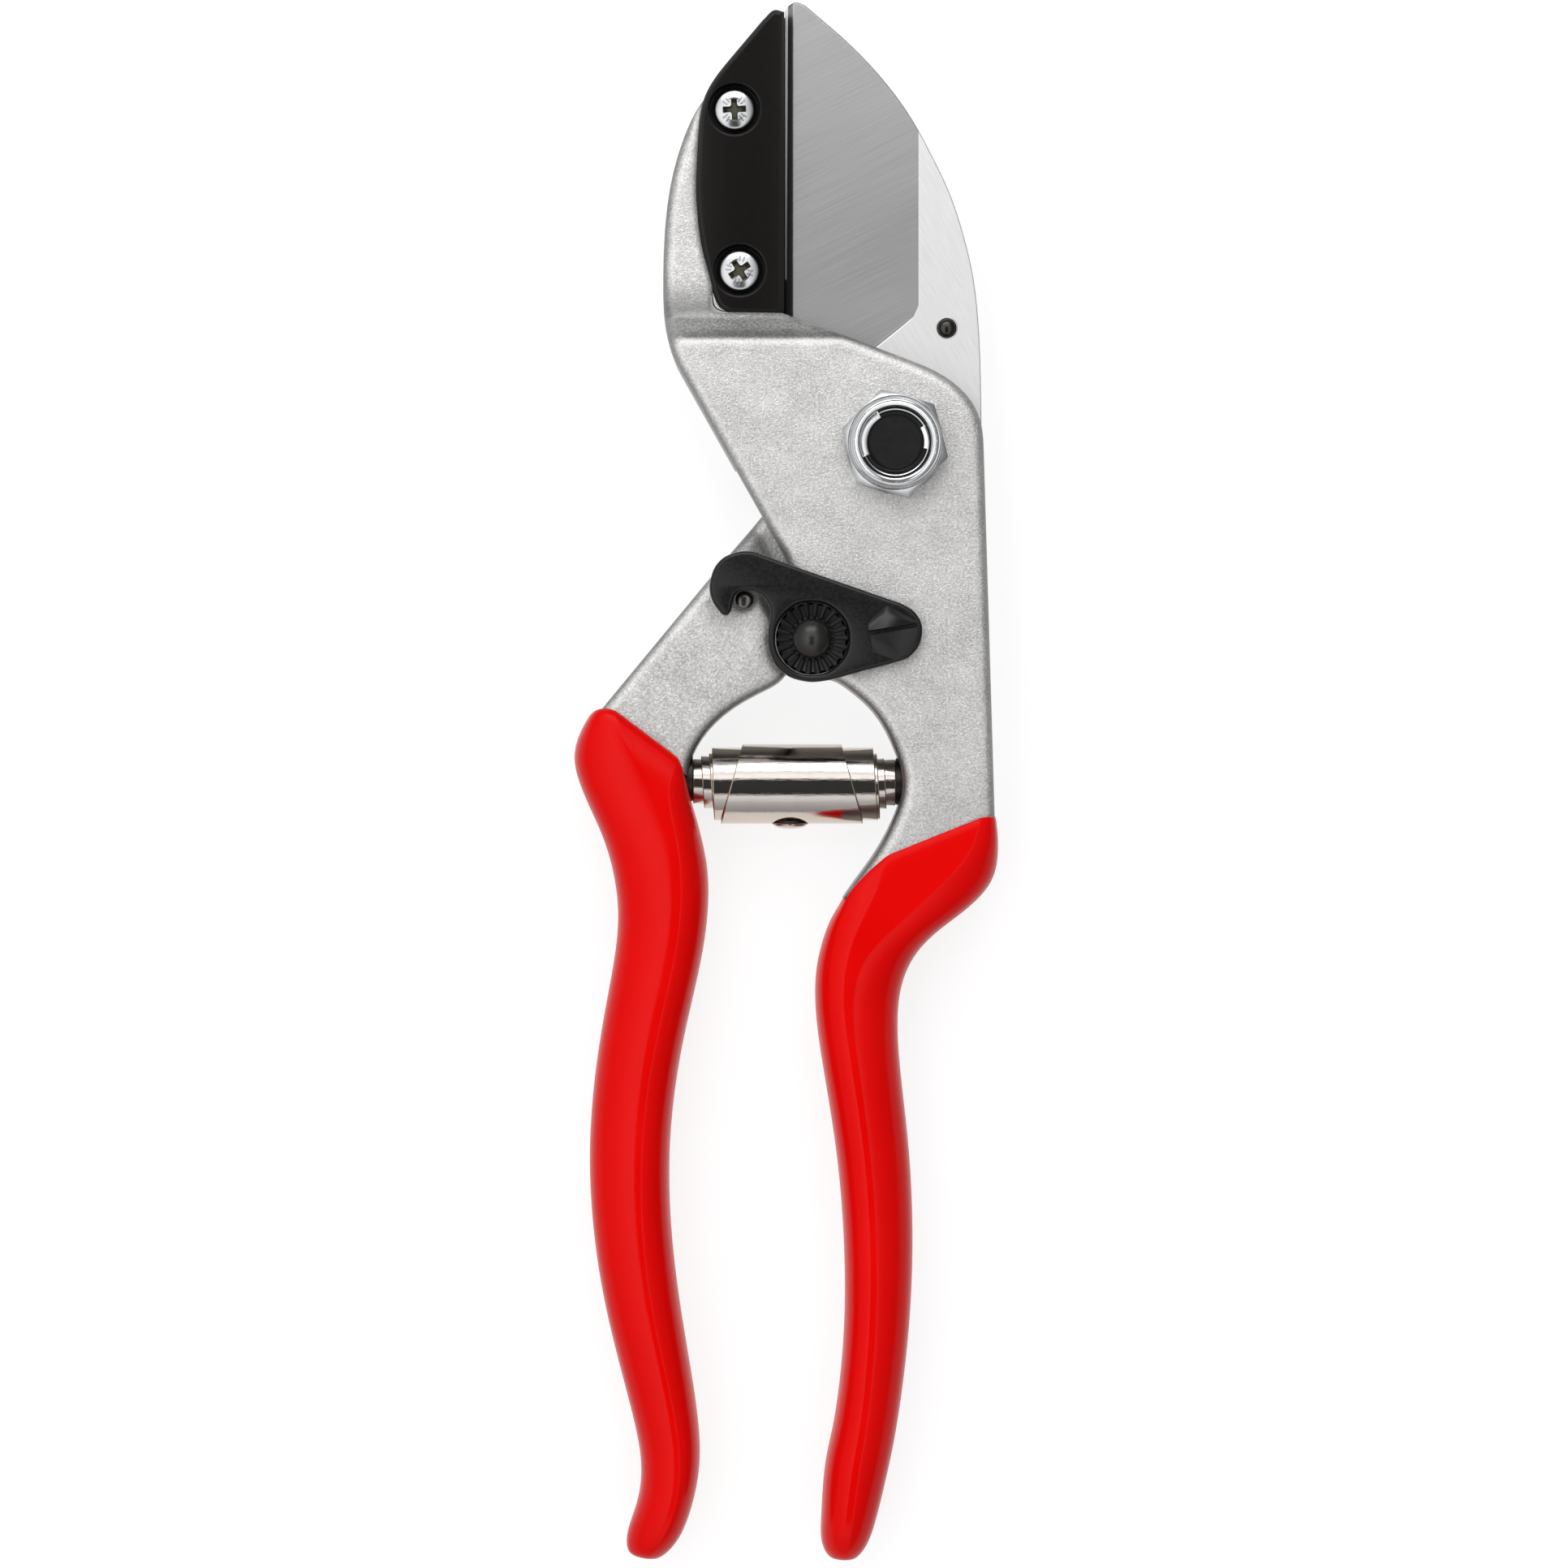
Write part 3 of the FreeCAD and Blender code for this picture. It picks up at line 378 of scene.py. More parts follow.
def gripRing(station, inset, bow):
    left, right, back, front, crestLeft, crestRight, boxy = station
    left, right = Vector((*left, 0)), Vector((*right, 0))
    across = (right - left).normalized()
    up = Vector((-across.y, across.x, 0))
    half = (right - left).length / 2
    tiltLeft, tiltRight = gripShape["tilt"]
    rise, skew, flatness, lift = bow
    curve = gripShape["curve"]
    height = [(1 - away ** boxy) ** (1 / boxy) for away in curve]
    shape = [(between(2 * crestLeft - 1, -1, away), high * (1 - tiltLeft * away))
             for away, high in zip(curve[::-1], height[::-1])]
    shape += [(between(2 * crestRight - 1, 1, away), high * (1 - tiltRight * away))
              for away, high in zip(curve, height)]
    shape += [(u, -(1 - abs(u) ** boxy) ** (1 / boxy)) for u in gripShape["back"]]
    points = []
    for u, w in shape:
        share = (u + 1) / 2
        arch = rise * max(0.0, 1 - abs(2 * share ** skew - 1) ** flatness) * min(1.0, abs(w) * 1.3) ** 2
        aside = u * (half * gripShape["spread"] - inset * 0.5)
        flat = left.lerp(right, 0.5) + across * aside + up * (arch + lift)
        points.append(flat + Vector((0, 0, (front + back) / 2 + w * ((front - back) / 2 - inset))))
    return points


def makeGrip(grip, material):
    stations = grip["stations"]
    still = (0, 1, 1, 0)
    rise, skew, flatness, lift = grip["bow"]
    rings = [gripRing(between(stations[0], stations[1], 0.5), gripShape["turnedIn"], still)]
    for share, inset, bowed in grip["lip"]:
        bow = (rise * bowed, skew, flatness, lift * bowed)
        rings.append(gripRing(between(stations[0], stations[1], share), inset, bow))
    rings += [gripRing(station, 0, still) for station in stations[1:]]
    mesh = bmesh.new()
    crease = mesh.edges.layers.float.new("crease_edge")
    ring = bmesh.ops.create_circle(mesh, segments=len(rings[0]), radius=1)["verts"]
    edges = list(mesh.edges)
    first = list(ring)
    for vert, point in zip(ring, rings[0]):
        vert.co = point
    for points in rings[1:]:
        grown = bmesh.ops.extrude_edge_only(mesh, edges=edges)["geom"]
        fresh = {part for part in grown if isinstance(part, bmesh.types.BMVert)}
        ring = [next(edge.other_vert(vert) for edge in vert.link_edges if edge.other_vert(vert) in fresh)
                for vert in ring]
        edges = [edge for edge in dict.fromkeys(edge for vert in ring for edge in vert.link_edges)
                 if edge.verts[0] in fresh and edge.verts[1] in fresh]
        for vert, point in zip(ring, points):
            vert.co = point
        for index in gripShape["creased"]:
            for edge in ring[index].link_edges:
                if edge.other_vert(ring[index]) not in ring:
                    edge[crease] = gripShape["crease"]
    for loop in (ring, first):
        mesh.faces.new(loop)
    bmesh.ops.recalc_face_normals(mesh, faces=mesh.faces)
    piece = addPiece(grip["name"], mesh, material)
    smooth = piece.modifiers.new("smooth", "SUBSURF")
    smooth.levels = smooth.render_levels = gripShape["smooth"]
    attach(piece, grip["body"])
    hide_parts(grip["node"])


red = redVinyl()
for grip in (leftGrip, rightGrip):
    makeGrip(grip, red)
finishNode(red, "left_grip", "right_grip")
print("grips made")


# the volute spring: a wound strip of telescoping turns between the two seats
spring = {
    "axis": (-46.28, 7.8),
    "wall": 0.30,
    "rim": 0.13,
    # name: radius, left end, right end, lean of the left end, lean of the right end, axis shift,
    # share of the opening
    "turns": {
        "left_turn_inner": (3.08, -27.6, -20.5, 0.0, 0.0, 0.35, 0.96),
        "left_turn_middle": (3.60, -26.3, -19.5, 0.06, 0.0, 0.25, 0.80),
        "left_turn_outer": (4.15, -25.1, -18.0, 0.08, 0.0, 0.1, 0.64),
        "barrel": (5.02, -24.85, -2.5, 0.03, 0.07, 0.0, 0.5),
        "outer_wrap": (5.50, -22.3, -5.7, -0.27, 0.27, 0.0, 0.5),
        "right_turn_outer": (4.55, -10.0, -2.1, 0.0, 0.05, -0.3, 0.40),
        "right_turn_middle": (3.50, -9.0, -1.15, 0.0, 0.05, 0.05, 0.22),
        "right_turn_inner": (3.18, -8.0, 0.25, 0.0, 0.0, 0.2, 0.05),
    },
    "button": (-14.25, 2.75, 0.72),  # place along the barrel, radius, how far it stands out
    "buttonDepth": 0.6,
    "buttonFace": 0.82,  # the bright face as a share of the whole
    "blank": 60,  # the tube's length before its ends are cut
    "segments": 128,
    "hold": ((-13.7, -46.28, 7.8), -10000),  # the place that takes a turn's share, and the blend's length
    "strip": ((0.47, 0.435, 0.41, 1), (0.56, 0.52, 0.49, 1)),
    # painted reflection: a warm tint on the turns' flanks, where they curve away from above
    "flankReflectionTint": (0.62, 0.55, 0.475, 1),
    "cutEdge": ((0.30, 0.22, 0.14, 1), (0.62, 0.52, 0.38, 1)),
    # painted shade: the near-black colours of the ring round the button
    "dark": ((0.02, 0.015, 0.012, 1), (0.07, 0.055, 0.045, 1)),
}


def nickelStrip():
    material, tree = newTree("nickelStrip")
    streaks = noise(tree, placeOf(tree, scale=(0.0022, 0.00016, 0.00016)), 1.0, 4.0, 0.6)
    cloud = noise(tree, placeOf(tree), 400, 4.0, 0.6)
    upward = axes(tree, addNode(tree, "ShaderNodeTexCoord").outputs["Normal"])["Z"]
    color = blendColors(tree, cloud, *spring["strip"])
    surface(tree, {
        # painted reflection on the flanks, picked by the normal
        "Base Color": blendColors(tree, fade(tree, upward, 0.85, 0.45), color, spring["flankReflectionTint"]),
        "Metallic": 1.0,
        "Roughness": fade(tree, streaks, 0.3, 0.7, 0.03, 0.10),
        "Normal": bump(tree, streaks, 0.000012, 0.8),
    })
    return material


def stripEdge():
    material, tree = newTree("stripEdge")
    grain = noise(tree, placeOf(tree), 2500, 3.0)
    surface(tree, {
        "Base Color": blendColors(tree, grain, *spring["cutEdge"]),
        "Metallic": 1.0,
        "Roughness": 0.35,
        "Normal": bump(tree, grain, 0.00001, 0.5),
    })
    return material


# painted shade for the ring round the button
def dimpleShadeNickel():
    material, tree = newTree("dimpleShadeNickel")
    grain = noise(tree, placeOf(tree), 1500, 3.0)
    surface(tree, {
        "Base Color": blendColors(tree, grain, *spring["dark"]),
        "Metallic": 1.0,
        "Roughness": 0.3,
    })
    return material


def followShare(piece):
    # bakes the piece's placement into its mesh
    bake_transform(piece)


def makeTurn(name, size, materials):
    radius, left, right, leanLeft, leanRight, shift, share = size
    y, z = spring["axis"][0] + shift, spring["axis"][1]
    mesh = bmesh.new()
    bmesh.ops.create_cone(mesh, cap_ends=False, segments=spring["segments"], radius1=radius,
                          radius2=radius, depth=spring["blank"])
    bmesh.ops.rotate(mesh, cent=(0, 0, 0), matrix=Matrix.Rotation(math.pi / 2, 3, "Y"), verts=mesh.verts)
    bmesh.ops.translate(mesh, vec=(0, y, z), verts=mesh.verts)
    for x, lean, out in ((left, leanLeft, -1), (right, leanRight, 1)):
        bmesh.ops.bisect_plane(mesh, geom=mesh.verts[:] + mesh.edges[:] + mesh.faces[:], plane_co=(x, y, z),
                               plane_no=(out, out * lean, 0), clear_outer=True)
    bmesh.ops.recalc_face_normals(mesh, faces=mesh.faces)
    bmesh.ops.solidify(mesh, geom=mesh.faces, thickness=spring["wall"])
    bmesh.ops.recalc_face_normals(mesh, faces=mesh.faces)
    rims = [edge for edge in mesh.edges if len(edge.link_faces) == 2 and edge.calc_face_angle() > 1]
    bmesh.ops.bevel(mesh, geom=rims, offset=spring["rim"], offset_type="OFFSET", segments=2, profile=0.5,
                    affect="EDGES", material=-1)
    for face in mesh.faces:
        face.material_index = 1 if abs(face.normal.x) > 0.3 else 0
    piece = addPiece(name, mesh, *materials, sharp=12)
    followShare(piece)
    return piece


def makeButton(materials):
    x, radius, proud = spring["button"]
    y, z = spring["axis"]
    y -= spring["turns"]["outer_wrap"][0]
    deep = spring["buttonDepth"]
    strip, _, dark = materials
    # the dark ring is painted shade round the dimple; the bright face sits inside it
    parts = (("button_shade_ring", radius, proud / 2, dark), ("button", radius * spring["buttonFace"], proud, strip))
    for name, wide, out, material in parts:
        mesh = bmesh.new()
        bmesh.ops.create_uvsphere(mesh, u_segments=48, v_segments=24, radius=1)
        bmesh.ops.scale(mesh, vec=(wide, wide, deep), verts=mesh.verts)
        bmesh.ops.rotate(mesh, cent=(0, 0, 0), matrix=Matrix.Rotation(math.pi / 2, 3, "X"), verts=mesh.verts)
        bmesh.ops.translate(mesh, vec=(x, y + deep - out, z), verts=mesh.verts)
        piece = addPiece(name, mesh, material)
        followShare(piece)


nickel = (nickelStrip(), stripEdge(), dimpleShadeNickel())
turns = [makeTurn(name, size, nickel[:2]) for name, size in spring["turns"].items()]
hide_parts("volute_spring")
makeButton(nickel)
print("spring wound")


# the ground blade
bladeFinish = {
    "flat": ((0.83, 0.82, 0.82, 1), (0.93, 0.925, 0.925, 1)),
    "bevel": ((0.305, 0.306, 0.310, 1), (0.45, 0.446, 0.444, 1)),
    "edge": 0.00036,
    # painted shade: the near-black colour on the blade's side faces and edge rounding
    "rim": (0.12, 0.12, 0.12, 1),
    # grinding marks: their direction, length and width
    "marks": {
        "flat": (-60, 0.0045, 0.00012),
        "bevel": (26, 0.012, 0.00015),
        "cross": (-35, 0.012, 0.00012),
    },
    "paler": (0.028, 0.054, 0.0, 0.45),
    "roughness": 0.36,
    # painted highlight: a bright stripe along the cutting edge: its side, lean, foot and top, then its
    # colours there
    "line": (-0.01483, 0.0047, 0.0230, 0.058),
    "lineColors": ((0.36, 0.36, 0.36, 1), (0.93, 0.93, 0.94, 1)),
}


def groundSteel():
    material, tree = newTree("groundSteel")
    leaning = axes(tree, addNode(tree, "ShaderNodeTexCoord").outputs["Normal"])["X"]
    onBevel = fade(tree, leaning, -0.01, -0.04)
    marks = {}
    for name, (turn, long, wide) in bladeFinish["marks"].items():
        place = placeOf(tree, turn=(0, 0, math.radians(turn)), scale=(long, wide, 0.01))
        marks[name] = noise(tree, place, 1.0, 4.0, 0.6)
    cloud = noise(tree, placeOf(tree, turn=(0, 0, 0.45), scale=(0.05, 0.012, 0.05)), 1.0, 3.0)
    across, along, _ = axes(tree, placeOf(tree))
    fine = plus(tree, fade(tree, marks["bevel"], 0.3, 0.7, 0.0, 0.36),
                fade(tree, marks["cross"], 0.6, 0.8, 0.0, 0.2),
                fade(tree, cloud, 0.3, 0.7, 0.0, 0.2), fade(tree, along, *bladeFinish["paler"]))
    flat = blendColors(tree, fade(tree, marks["flat"], 0.3, 0.7), *bladeFinish["flat"])
    bevel = blendColors(tree, fine, *bladeFinish["bevel"])
    height = plus(tree, times(tree, marks["bevel"], onBevel), marks["flat"])
    soft = rounded(tree, bladeFinish["edge"])
    # painted shade on the side faces
    side = fade(tree, calc(tree, "ABSOLUTE", axes(tree, soft)["Z"]), 0.985, 0.85)
    color = blendColors(tree, side, blendColors(tree, onBevel, flat, bevel), bladeFinish["rim"])
    # painted highlight: a non-metal stripe along the cutting edge, brighter towards the tip
    lineSide, lean, foot, top = bladeFinish["line"]
    leant = calc(tree, "SUBTRACT", across, times(tree, along, lean))
    line = times(tree, fade(tree, leant, lineSide + 0.04 * mm, lineSide - 0.04 * mm),
                 fade(tree, along, foot, foot + 0.4 * mm))
    lineColor = blendColors(tree, fade(tree, along, foot, top), *bladeFinish["lineColors"])
    surface(tree, {
        "Base Color": blendColors(tree, line, color, lineColor),
        "Metallic": calc(tree, "SUBTRACT", 1.0, line),
        "Roughness": bladeFinish["roughness"],
        "Normal": bump(tree, height, 0.000004, 0.5, soft),
    })
    return material


finishNode(groundSteel(), "cutting_blade")


# dark and bright small parts
def darkMetal(name, color, roughness, metallic=0.0, specular=0.5, grainDepth=0.000006, crown=None,
              edge=0.0, wear=1.0):
    # crown: the middle, direction and curve of a face that looks slightly domed
    material, tree = newTree(name)
    where = placeOf(tree)
    grain = noise(tree, where, 2200, 3.0)
    cloud = noise(tree, where, 150, 3.0)
    dim = tuple(part * (1 - 0.3 * wear) for part in color[:3]) + (1,)
    normal = bump(tree, grain, grainDepth, 0.5, rounded(tree, edge) if edge else None)
    if crown:
        middle, turn, curve = crown
        across = axes(tree, placeOf(tree, middle, (0, 0, turn)))["Y"]
        normal = bump(tree, times(tree, across, across, -curve), 1.0, 1.0, normal)
    surface(tree, {
        "Base Color": blendColors(tree, cloud, dim, color),
        "Metallic": metallic,
        "Roughness": fade(tree, grain, 0.3, 0.7, roughness - 0.04 * wear, roughness + 0.04 * wear),
        "Specular IOR Level": specular,
        "Normal": normal,
    })
    return material


boltEnd = {
    "colors": ((0.006, 0.006, 0.006, 1), (0.016, 0.016, 0.016, 1)),
    "roughness": 0.34,
    "shine": 0.18,
    "pitch": 0.00042,  # from one turned ring to the next
    "rings": 0.25,
}


def turnedBlack():
    material, tree = newTree("turnedBlack")
    rings = calc(tree, "SINE", times(tree, fromMiddle(tree, (0, 0)), 2 * math.pi / boltEnd["pitch"]))
    worn = noise(tree, placeOf(tree), 900, 4.0)
    surface(tree, {
        "Base Color": blendColors(tree, worn, *boltEnd["colors"]),
        "Roughness": boltEnd["roughness"],
        "Specular IOR Level": boltEnd["shine"],
        "Normal": bump(tree, plus(tree, times(tree, rings, boltEnd["rings"]), worn), 0.000006, 1.0),
    })
    return material


zinc = {
    "colors": ((0.56, 0.57, 0.58, 1), (0.70, 0.71, 0.72, 1)),
    "roughness": 0.2,
}


def brightZinc(name, extra=None, level=1.0):
    # extra adds the marks of one piece; level makes it darker or brighter
    material, tree = newTree(name)
    cloud = noise(tree, placeOf(tree), 500, 4.0, 0.6)
    dim, light = (tuple(part * level for part in shade[:3]) + (1,) for shade in zinc["colors"])
    color = blendColors(tree, cloud, dim, light)
    rough = fade(tree, cloud, 0.3, 0.7, zinc["roughness"] - 0.05, zinc["roughness"] + 0.05)
    normal = bump(tree, cloud, 0.000004, 0.5)
    if extra:
        color, rough, normal = extra(tree, color, rough, normal)
    surface(tree, {"Base Color": color, "Metallic": 1.0, "Roughness": rough, "Normal": normal})
    return material


finishNode(darkMetal("blackAnvil", (0.006, 0.005, 0.0045, 1), 0.2, specular=0.3, grainDepth=0.0000002,
                    crown=((-0.0205, 0.035, 0), math.pi / 2, 6.0), edge=0.00045, wear=0.2), "anvil")
leverBlack = darkMetal("blackLever", (0.008, 0.008, 0.008, 1), 0.32, specular=0.4)
leverTop = darkMetal("leverTop", (0.007, 0.007, 0.007, 1), 0.26, specular=0.36,
                     crown=((-0.0083, -0.0175, 0), -0.34, 9.0))
washerBlack = darkMetal("washerBlack", (0.004, 0.004, 0.004, 1), 0.30, specular=0.22)
dowelSteel = darkMetal("dowelSteel", (0.06, 0.056, 0.052, 1), 0.2, 1.0)
finishNode(darkMetal("blackRivet", (0.012, 0.011, 0.010, 1), 0.26), "catch_rivet")
pinSteel = darkMetal("pinSteel", (0.15, 0.145, 0.14, 1), 0.2, 1.0)
finishNode(pinSteel, "catch_pin")
finishNode(turnedBlack(), "pivot_bolt")
# painted shade: the spring seats are near-black for the shade in their pockets
finishNode(darkMetal("shadedSeatSteel", (0.05, 0.045, 0.04, 1), 0.35, 1.0), "left_spring_seat", "right_spring_seat")
ringSteel = brightZinc("ringSteel")
finishNode(ringSteel, "nut_lock_ring")
finishNode(darkMetal("plainSteel", (0.40, 0.40, 0.40, 1), 0.35, 1.0), "pivot_bush", "catch_spring_washer")
print("metals finished")


# the catch lever, with its hub ring, toothed washer and thumb rib
catch = {
    "middle": (-11.3, -26.5),
    "back": 14.8,
    "front": 17.4,
    "edge": 0.5,
    "hole": 5.0,
    "teeth": 22,
    # the toothed washer's rings: radius, height; then how low and how short a tooth is at its four steps
    "washer": ((2.55, 15.9), (2.65, 16.5), (3.0, 16.62), (4.3, 16.85), (4.85, 17.0), (4.9, 15.9)),
    "toothLow": (0.0, 0.04, 0.26, 0.22),
    "toothShort": (0.0, 0.05, 0.3, 0.25),
    "lobeSunk": (0.05, 0.6),
    "pin": ((0, 7.6), (1.33, 7.6), (1.34, 14.0), (1.31, 14.2), (1.22, 14.36), (1.02, 14.48), (0.7, 14.57),
            (0.35, 14.61), (0, 14.62)),
    "pinPlace": (-20.6, -21.1),
    "outline": ((-17.6, -15.3), (-19.7, -14.65), (-21.8, -14.85), (-23.9, -16.0), (-25.1, -18.5),
                (-25.1, -20.6), (-24.1, -22.5), (-23.0, -23.35), (-22.35, -22.8), (-22.1, -21.7),
                (-21.5, -20.35), (-20.3, -19.85), (-18.8, -20.2), (-17.5, -21.3), (-16.95, -23.0),
                (-17.25, -25.6), (-17.0, -28.4), (-15.4, -31.0), (-12.4, -32.3), (-9.2, -32.2),
                (-5.6, -31.25), (-4.3, -30.9), (-1.6, -30.2), (-0.3, -29.85), (2.3, -28.7), (3.7, -25.9),
                (3.1, -23.4), (1.0, -21.8), (-0.4, -21.3), (-15.9, -15.9)),
    # each lobe: its foot on the lever, then its crest
    "lobes": {
        "thumb_lobe_upper": (((-3.95, -24.33), (-2.07, -22.35), (-1.08, -21.95), (0.8, -22.5), (2.4, -23.6),
                              (3.1, -24.5), (-3.65, -25.6)),
                             ((-3.55, -25.45, 18.45), (-3.7, -24.6, 18.25), (3.0, -24.45, 18.1),
                              (-1.3, -23.2, 18.25))),
        "thumb_lobe_lower": (((-3.55, -26.1), (-2.95, -28.4), (0.03, -29.5), (2.0, -28.6), (3.2, -26.87),
                              (3.3, -25.1)),
                             ((-3.4, -26.1, 18.3), (3.1, -25.0, 17.9), (-2.2, -27.6, 18.0),
                              (0.4, -27.3, 18.05))),
    },
}


def makeLeverPlate():
    curve = bpy.data.curves.new("leverPlate", "CURVE")
    curve.dimensions = "2D"
    curve.fill_mode = "BOTH"
    curve.resolution_u = 10
    ring = [(catch["middle"][0] + catch["hole"] * math.cos(a * math.pi / 4),
             catch["middle"][1] + catch["hole"] * math.sin(a * math.pi / 4)) for a in range(8)]
    for points in (catch["outline"], ring):
        spline = curve.splines.new("BEZIER")
        spline.bezier_points.add(len(points) - 1)
        spline.use_cyclic_u = True
        for knot, (x, y) in zip(spline.bezier_points, points):
            knot.co = (x, y, 0)
            knot.handle_left_type = knot.handle_right_type = "AUTO"
    curve.bevel_depth = catch["edge"]
    curve.offset = -catch["edge"]
    curve.bevel_resolution = 5
    curve.extrude = (catch["front"] - catch["back"]) / 2 - catch["edge"]
    mesh = bmesh.new()
    mesh.from_mesh(flatMesh(curve))
    bmesh.ops.remove_doubles(mesh, verts=mesh.verts, dist=0.001)
    bmesh.ops.recalc_face_normals(mesh, faces=mesh.faces)
    bmesh.ops.translate(mesh, vec=(0, 0, (catch["front"] + catch["back"]) / 2), verts=mesh.verts)
    piece = addPiece("lever_plate", mesh, leverTop, sharp=30)
    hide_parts("catch_lever")
    return piece


def makeThumbLobe(name, foot, crest):
    mesh = bmesh.new()
    for x, y in foot:
        for sunk in catch["lobeSunk"]:
            mesh.verts.new((x, y, catch["front"] - sunk))
    for point in crest:
        mesh.verts.new(point)
    bmesh.ops.convex_hull(mesh, input=mesh.verts)
    bmesh.ops.recalc_face_normals(mesh, faces=mesh.faces)
    return addPiece(name, mesh, leverBlack, sharp=38)


def makeToothedWasher():
    mesh = bmesh.new()
    count = catch["teeth"] * 4
    rings = catch["washer"]
    ring = bmesh.ops.create_circle(mesh, segments=count, radius=rings[0][0])["verts"]
    edges = list(mesh.edges)
    bmesh.ops.translate(mesh, vec=(0, 0, rings[0][1]), verts=ring)
    for index, (radius, z) in enumerate(rings[1:]):
        grown = bmesh.ops.extrude_edge_only(mesh, edges=edges)["geom"]
        ring = [part for part in grown if isinstance(part, bmesh.types.BMVert)]
        edges = [part for part in grown if isinstance(part, bmesh.types.BMEdge) and part.is_boundary]
        for vert in ring:
            angle = math.atan2(vert.co.y, vert.co.x)
            step = round(angle / (2 * math.pi) * count) % 4
            low = catch["toothLow"][step] if 0 < index < 4 else 0.0
            short = catch["toothShort"][step] if index == 3 else 0.0
            vert.co = ((radius - short) * math.cos(angle), (radius - short) * math.sin(angle), z - low)
    bmesh.ops.recalc_face_normals(mesh, faces=mesh.faces)
    bmesh.ops.translate(mesh, vec=(*catch["middle"], 0), verts=mesh.verts)
    piece = addPiece("toothed_washer", mesh, washerBlack, sharp=20)
    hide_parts("catch_toothed_washer")
    return piece


plate = makeLeverPlate()
lobes = [makeThumbLobe(name, *size) for name, size in catch["lobes"].items()]
for piece in (plate, *lobes):
    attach(piece, "catch")
pin = addPiece("pin_dome", spun(catch["pin"], catch["pinPlace"], 48), pinSteel, sharp=60)
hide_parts("catch_pin")
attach(pin, "blade_side")
washer = makeToothedWasher()
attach(washer, "anvil_side")
print("catch lever made")


# the pivot nut: a crowned hexagon with a rounded collar, its lock ring and tabs
nut = {
    "flat": 6.47,
    "turn": 14.7,
    "profile": ((3.72, 14.75), (7.7, 14.75), (7.7, 18.8), (6.44, 19.58), (6.36, 19.5), (6.28, 19.6),
                (6.2, 19.7), (6.12, 19.76), (6.1, 20.45), (6.05, 20.72), (5.95, 20.92), (5.8, 21.05),
                (5.64, 21.12), (5.6, 21.03), (5.54, 21.02), (5.5, 21.14), (5.36, 21.18), (5.24, 21.19),
                (5.2, 21.16), (5.14, 21.17), (4.97, 21.08), (4.9, 20.95), (4.8, 20.5), (4.8, 19.3),
                (3.72, 19.3)),
    # painted shade along the grooves and creases of the turned profile: radius, half width, strength
    "rings": ((5.57, 0.05, 0.6), (6.2, 0.05, 0.4), (6.45, 0.05, 0.25)),
    "grooveShade": (0.03, 0.03, 0.03, 1),
    "level": 1.14,
    "corner": 0.1,
    "cornersFrom": 6.4,
    "seat": ((3.7, 19.2), (3.7, 20.1), (3.8, 20.16), (3.95, 20.05), (4.0, 19.8), (4.15, 19.75), (4.2, 19.62),
             (4.8, 19.6), (4.8, 19.2)),
    "ring": ((4.33, 19.6), (4.33, 20.06), (4.37, 20.11), (4.54, 20.17), (4.58, 20.13), (4.58, 19.6)),
    # start and end angle, inner and outer radius
    "tabs": {"lock_tab_left": (120, 205, 3.74, 4.84), "lock_tab_right": (-12, 30, 3.76, 4.6)},
    "tabTop": 20.34,
    "tabEdge": 0.035,
}


# painted shade: dark rings at the grooves and creases, broken by noise
def paintedGrooveShade(tree, color, rough, normal):
    away = fromMiddle(tree, (0, 0))
    broken = noise(tree, placeOf(tree), 1800, 2.0)
    for radius, half, strength in nut["rings"]:
        off = calc(tree, "ABSOLUTE", calc(tree, "SUBTRACT", away, radius * mm))
        ring = times(tree, fade(tree, off, half * mm, half * 0.4 * mm), strength,
                     fade(tree, broken, 0.3, 0.5, 0.3, 1.0))
        color = blendColors(tree, ring, color, nut["grooveShade"])
    return color, rough, normal


def makeNut():
    mesh = spun(nut["profile"] + nut["profile"][:1], (0, 0), 144)
    for index in range(6):
        angle = math.radians(nut["turn"] + 60 * index)
        out = Vector((math.cos(angle), math.sin(angle), 0))
        whole = mesh.verts[:] + mesh.edges[:] + mesh.faces[:]
        cut = bmesh.ops.bisect_plane(mesh, geom=whole, clear_outer=True, plane_co=out * nut["flat"],
                                     plane_no=out)["geom_cut"]
        bmesh.ops.holes_fill(mesh, edges=[part for part in cut if isinstance(part, bmesh.types.BMEdge)])
    bmesh.ops.recalc_face_normals(mesh, faces=mesh.faces)
    corners = [edge for edge in mesh.edges if len(edge.link_faces) == 2 and edge.calc_face_angle() > 0.6
               and max(vert.co.xy.length for vert in edge.verts) > nut["cornersFrom"]]
    bmesh.ops.bevel(mesh, geom=corners, offset=nut["corner"], offset_type="OFFSET", segments=2,
                    profile=0.5, affect="EDGES", material=-1, clamp_overlap=True)
    piece = addPiece("crowned_nut", mesh, nutZinc, sharp=28)
    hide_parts("pivot_nut")
    return piece


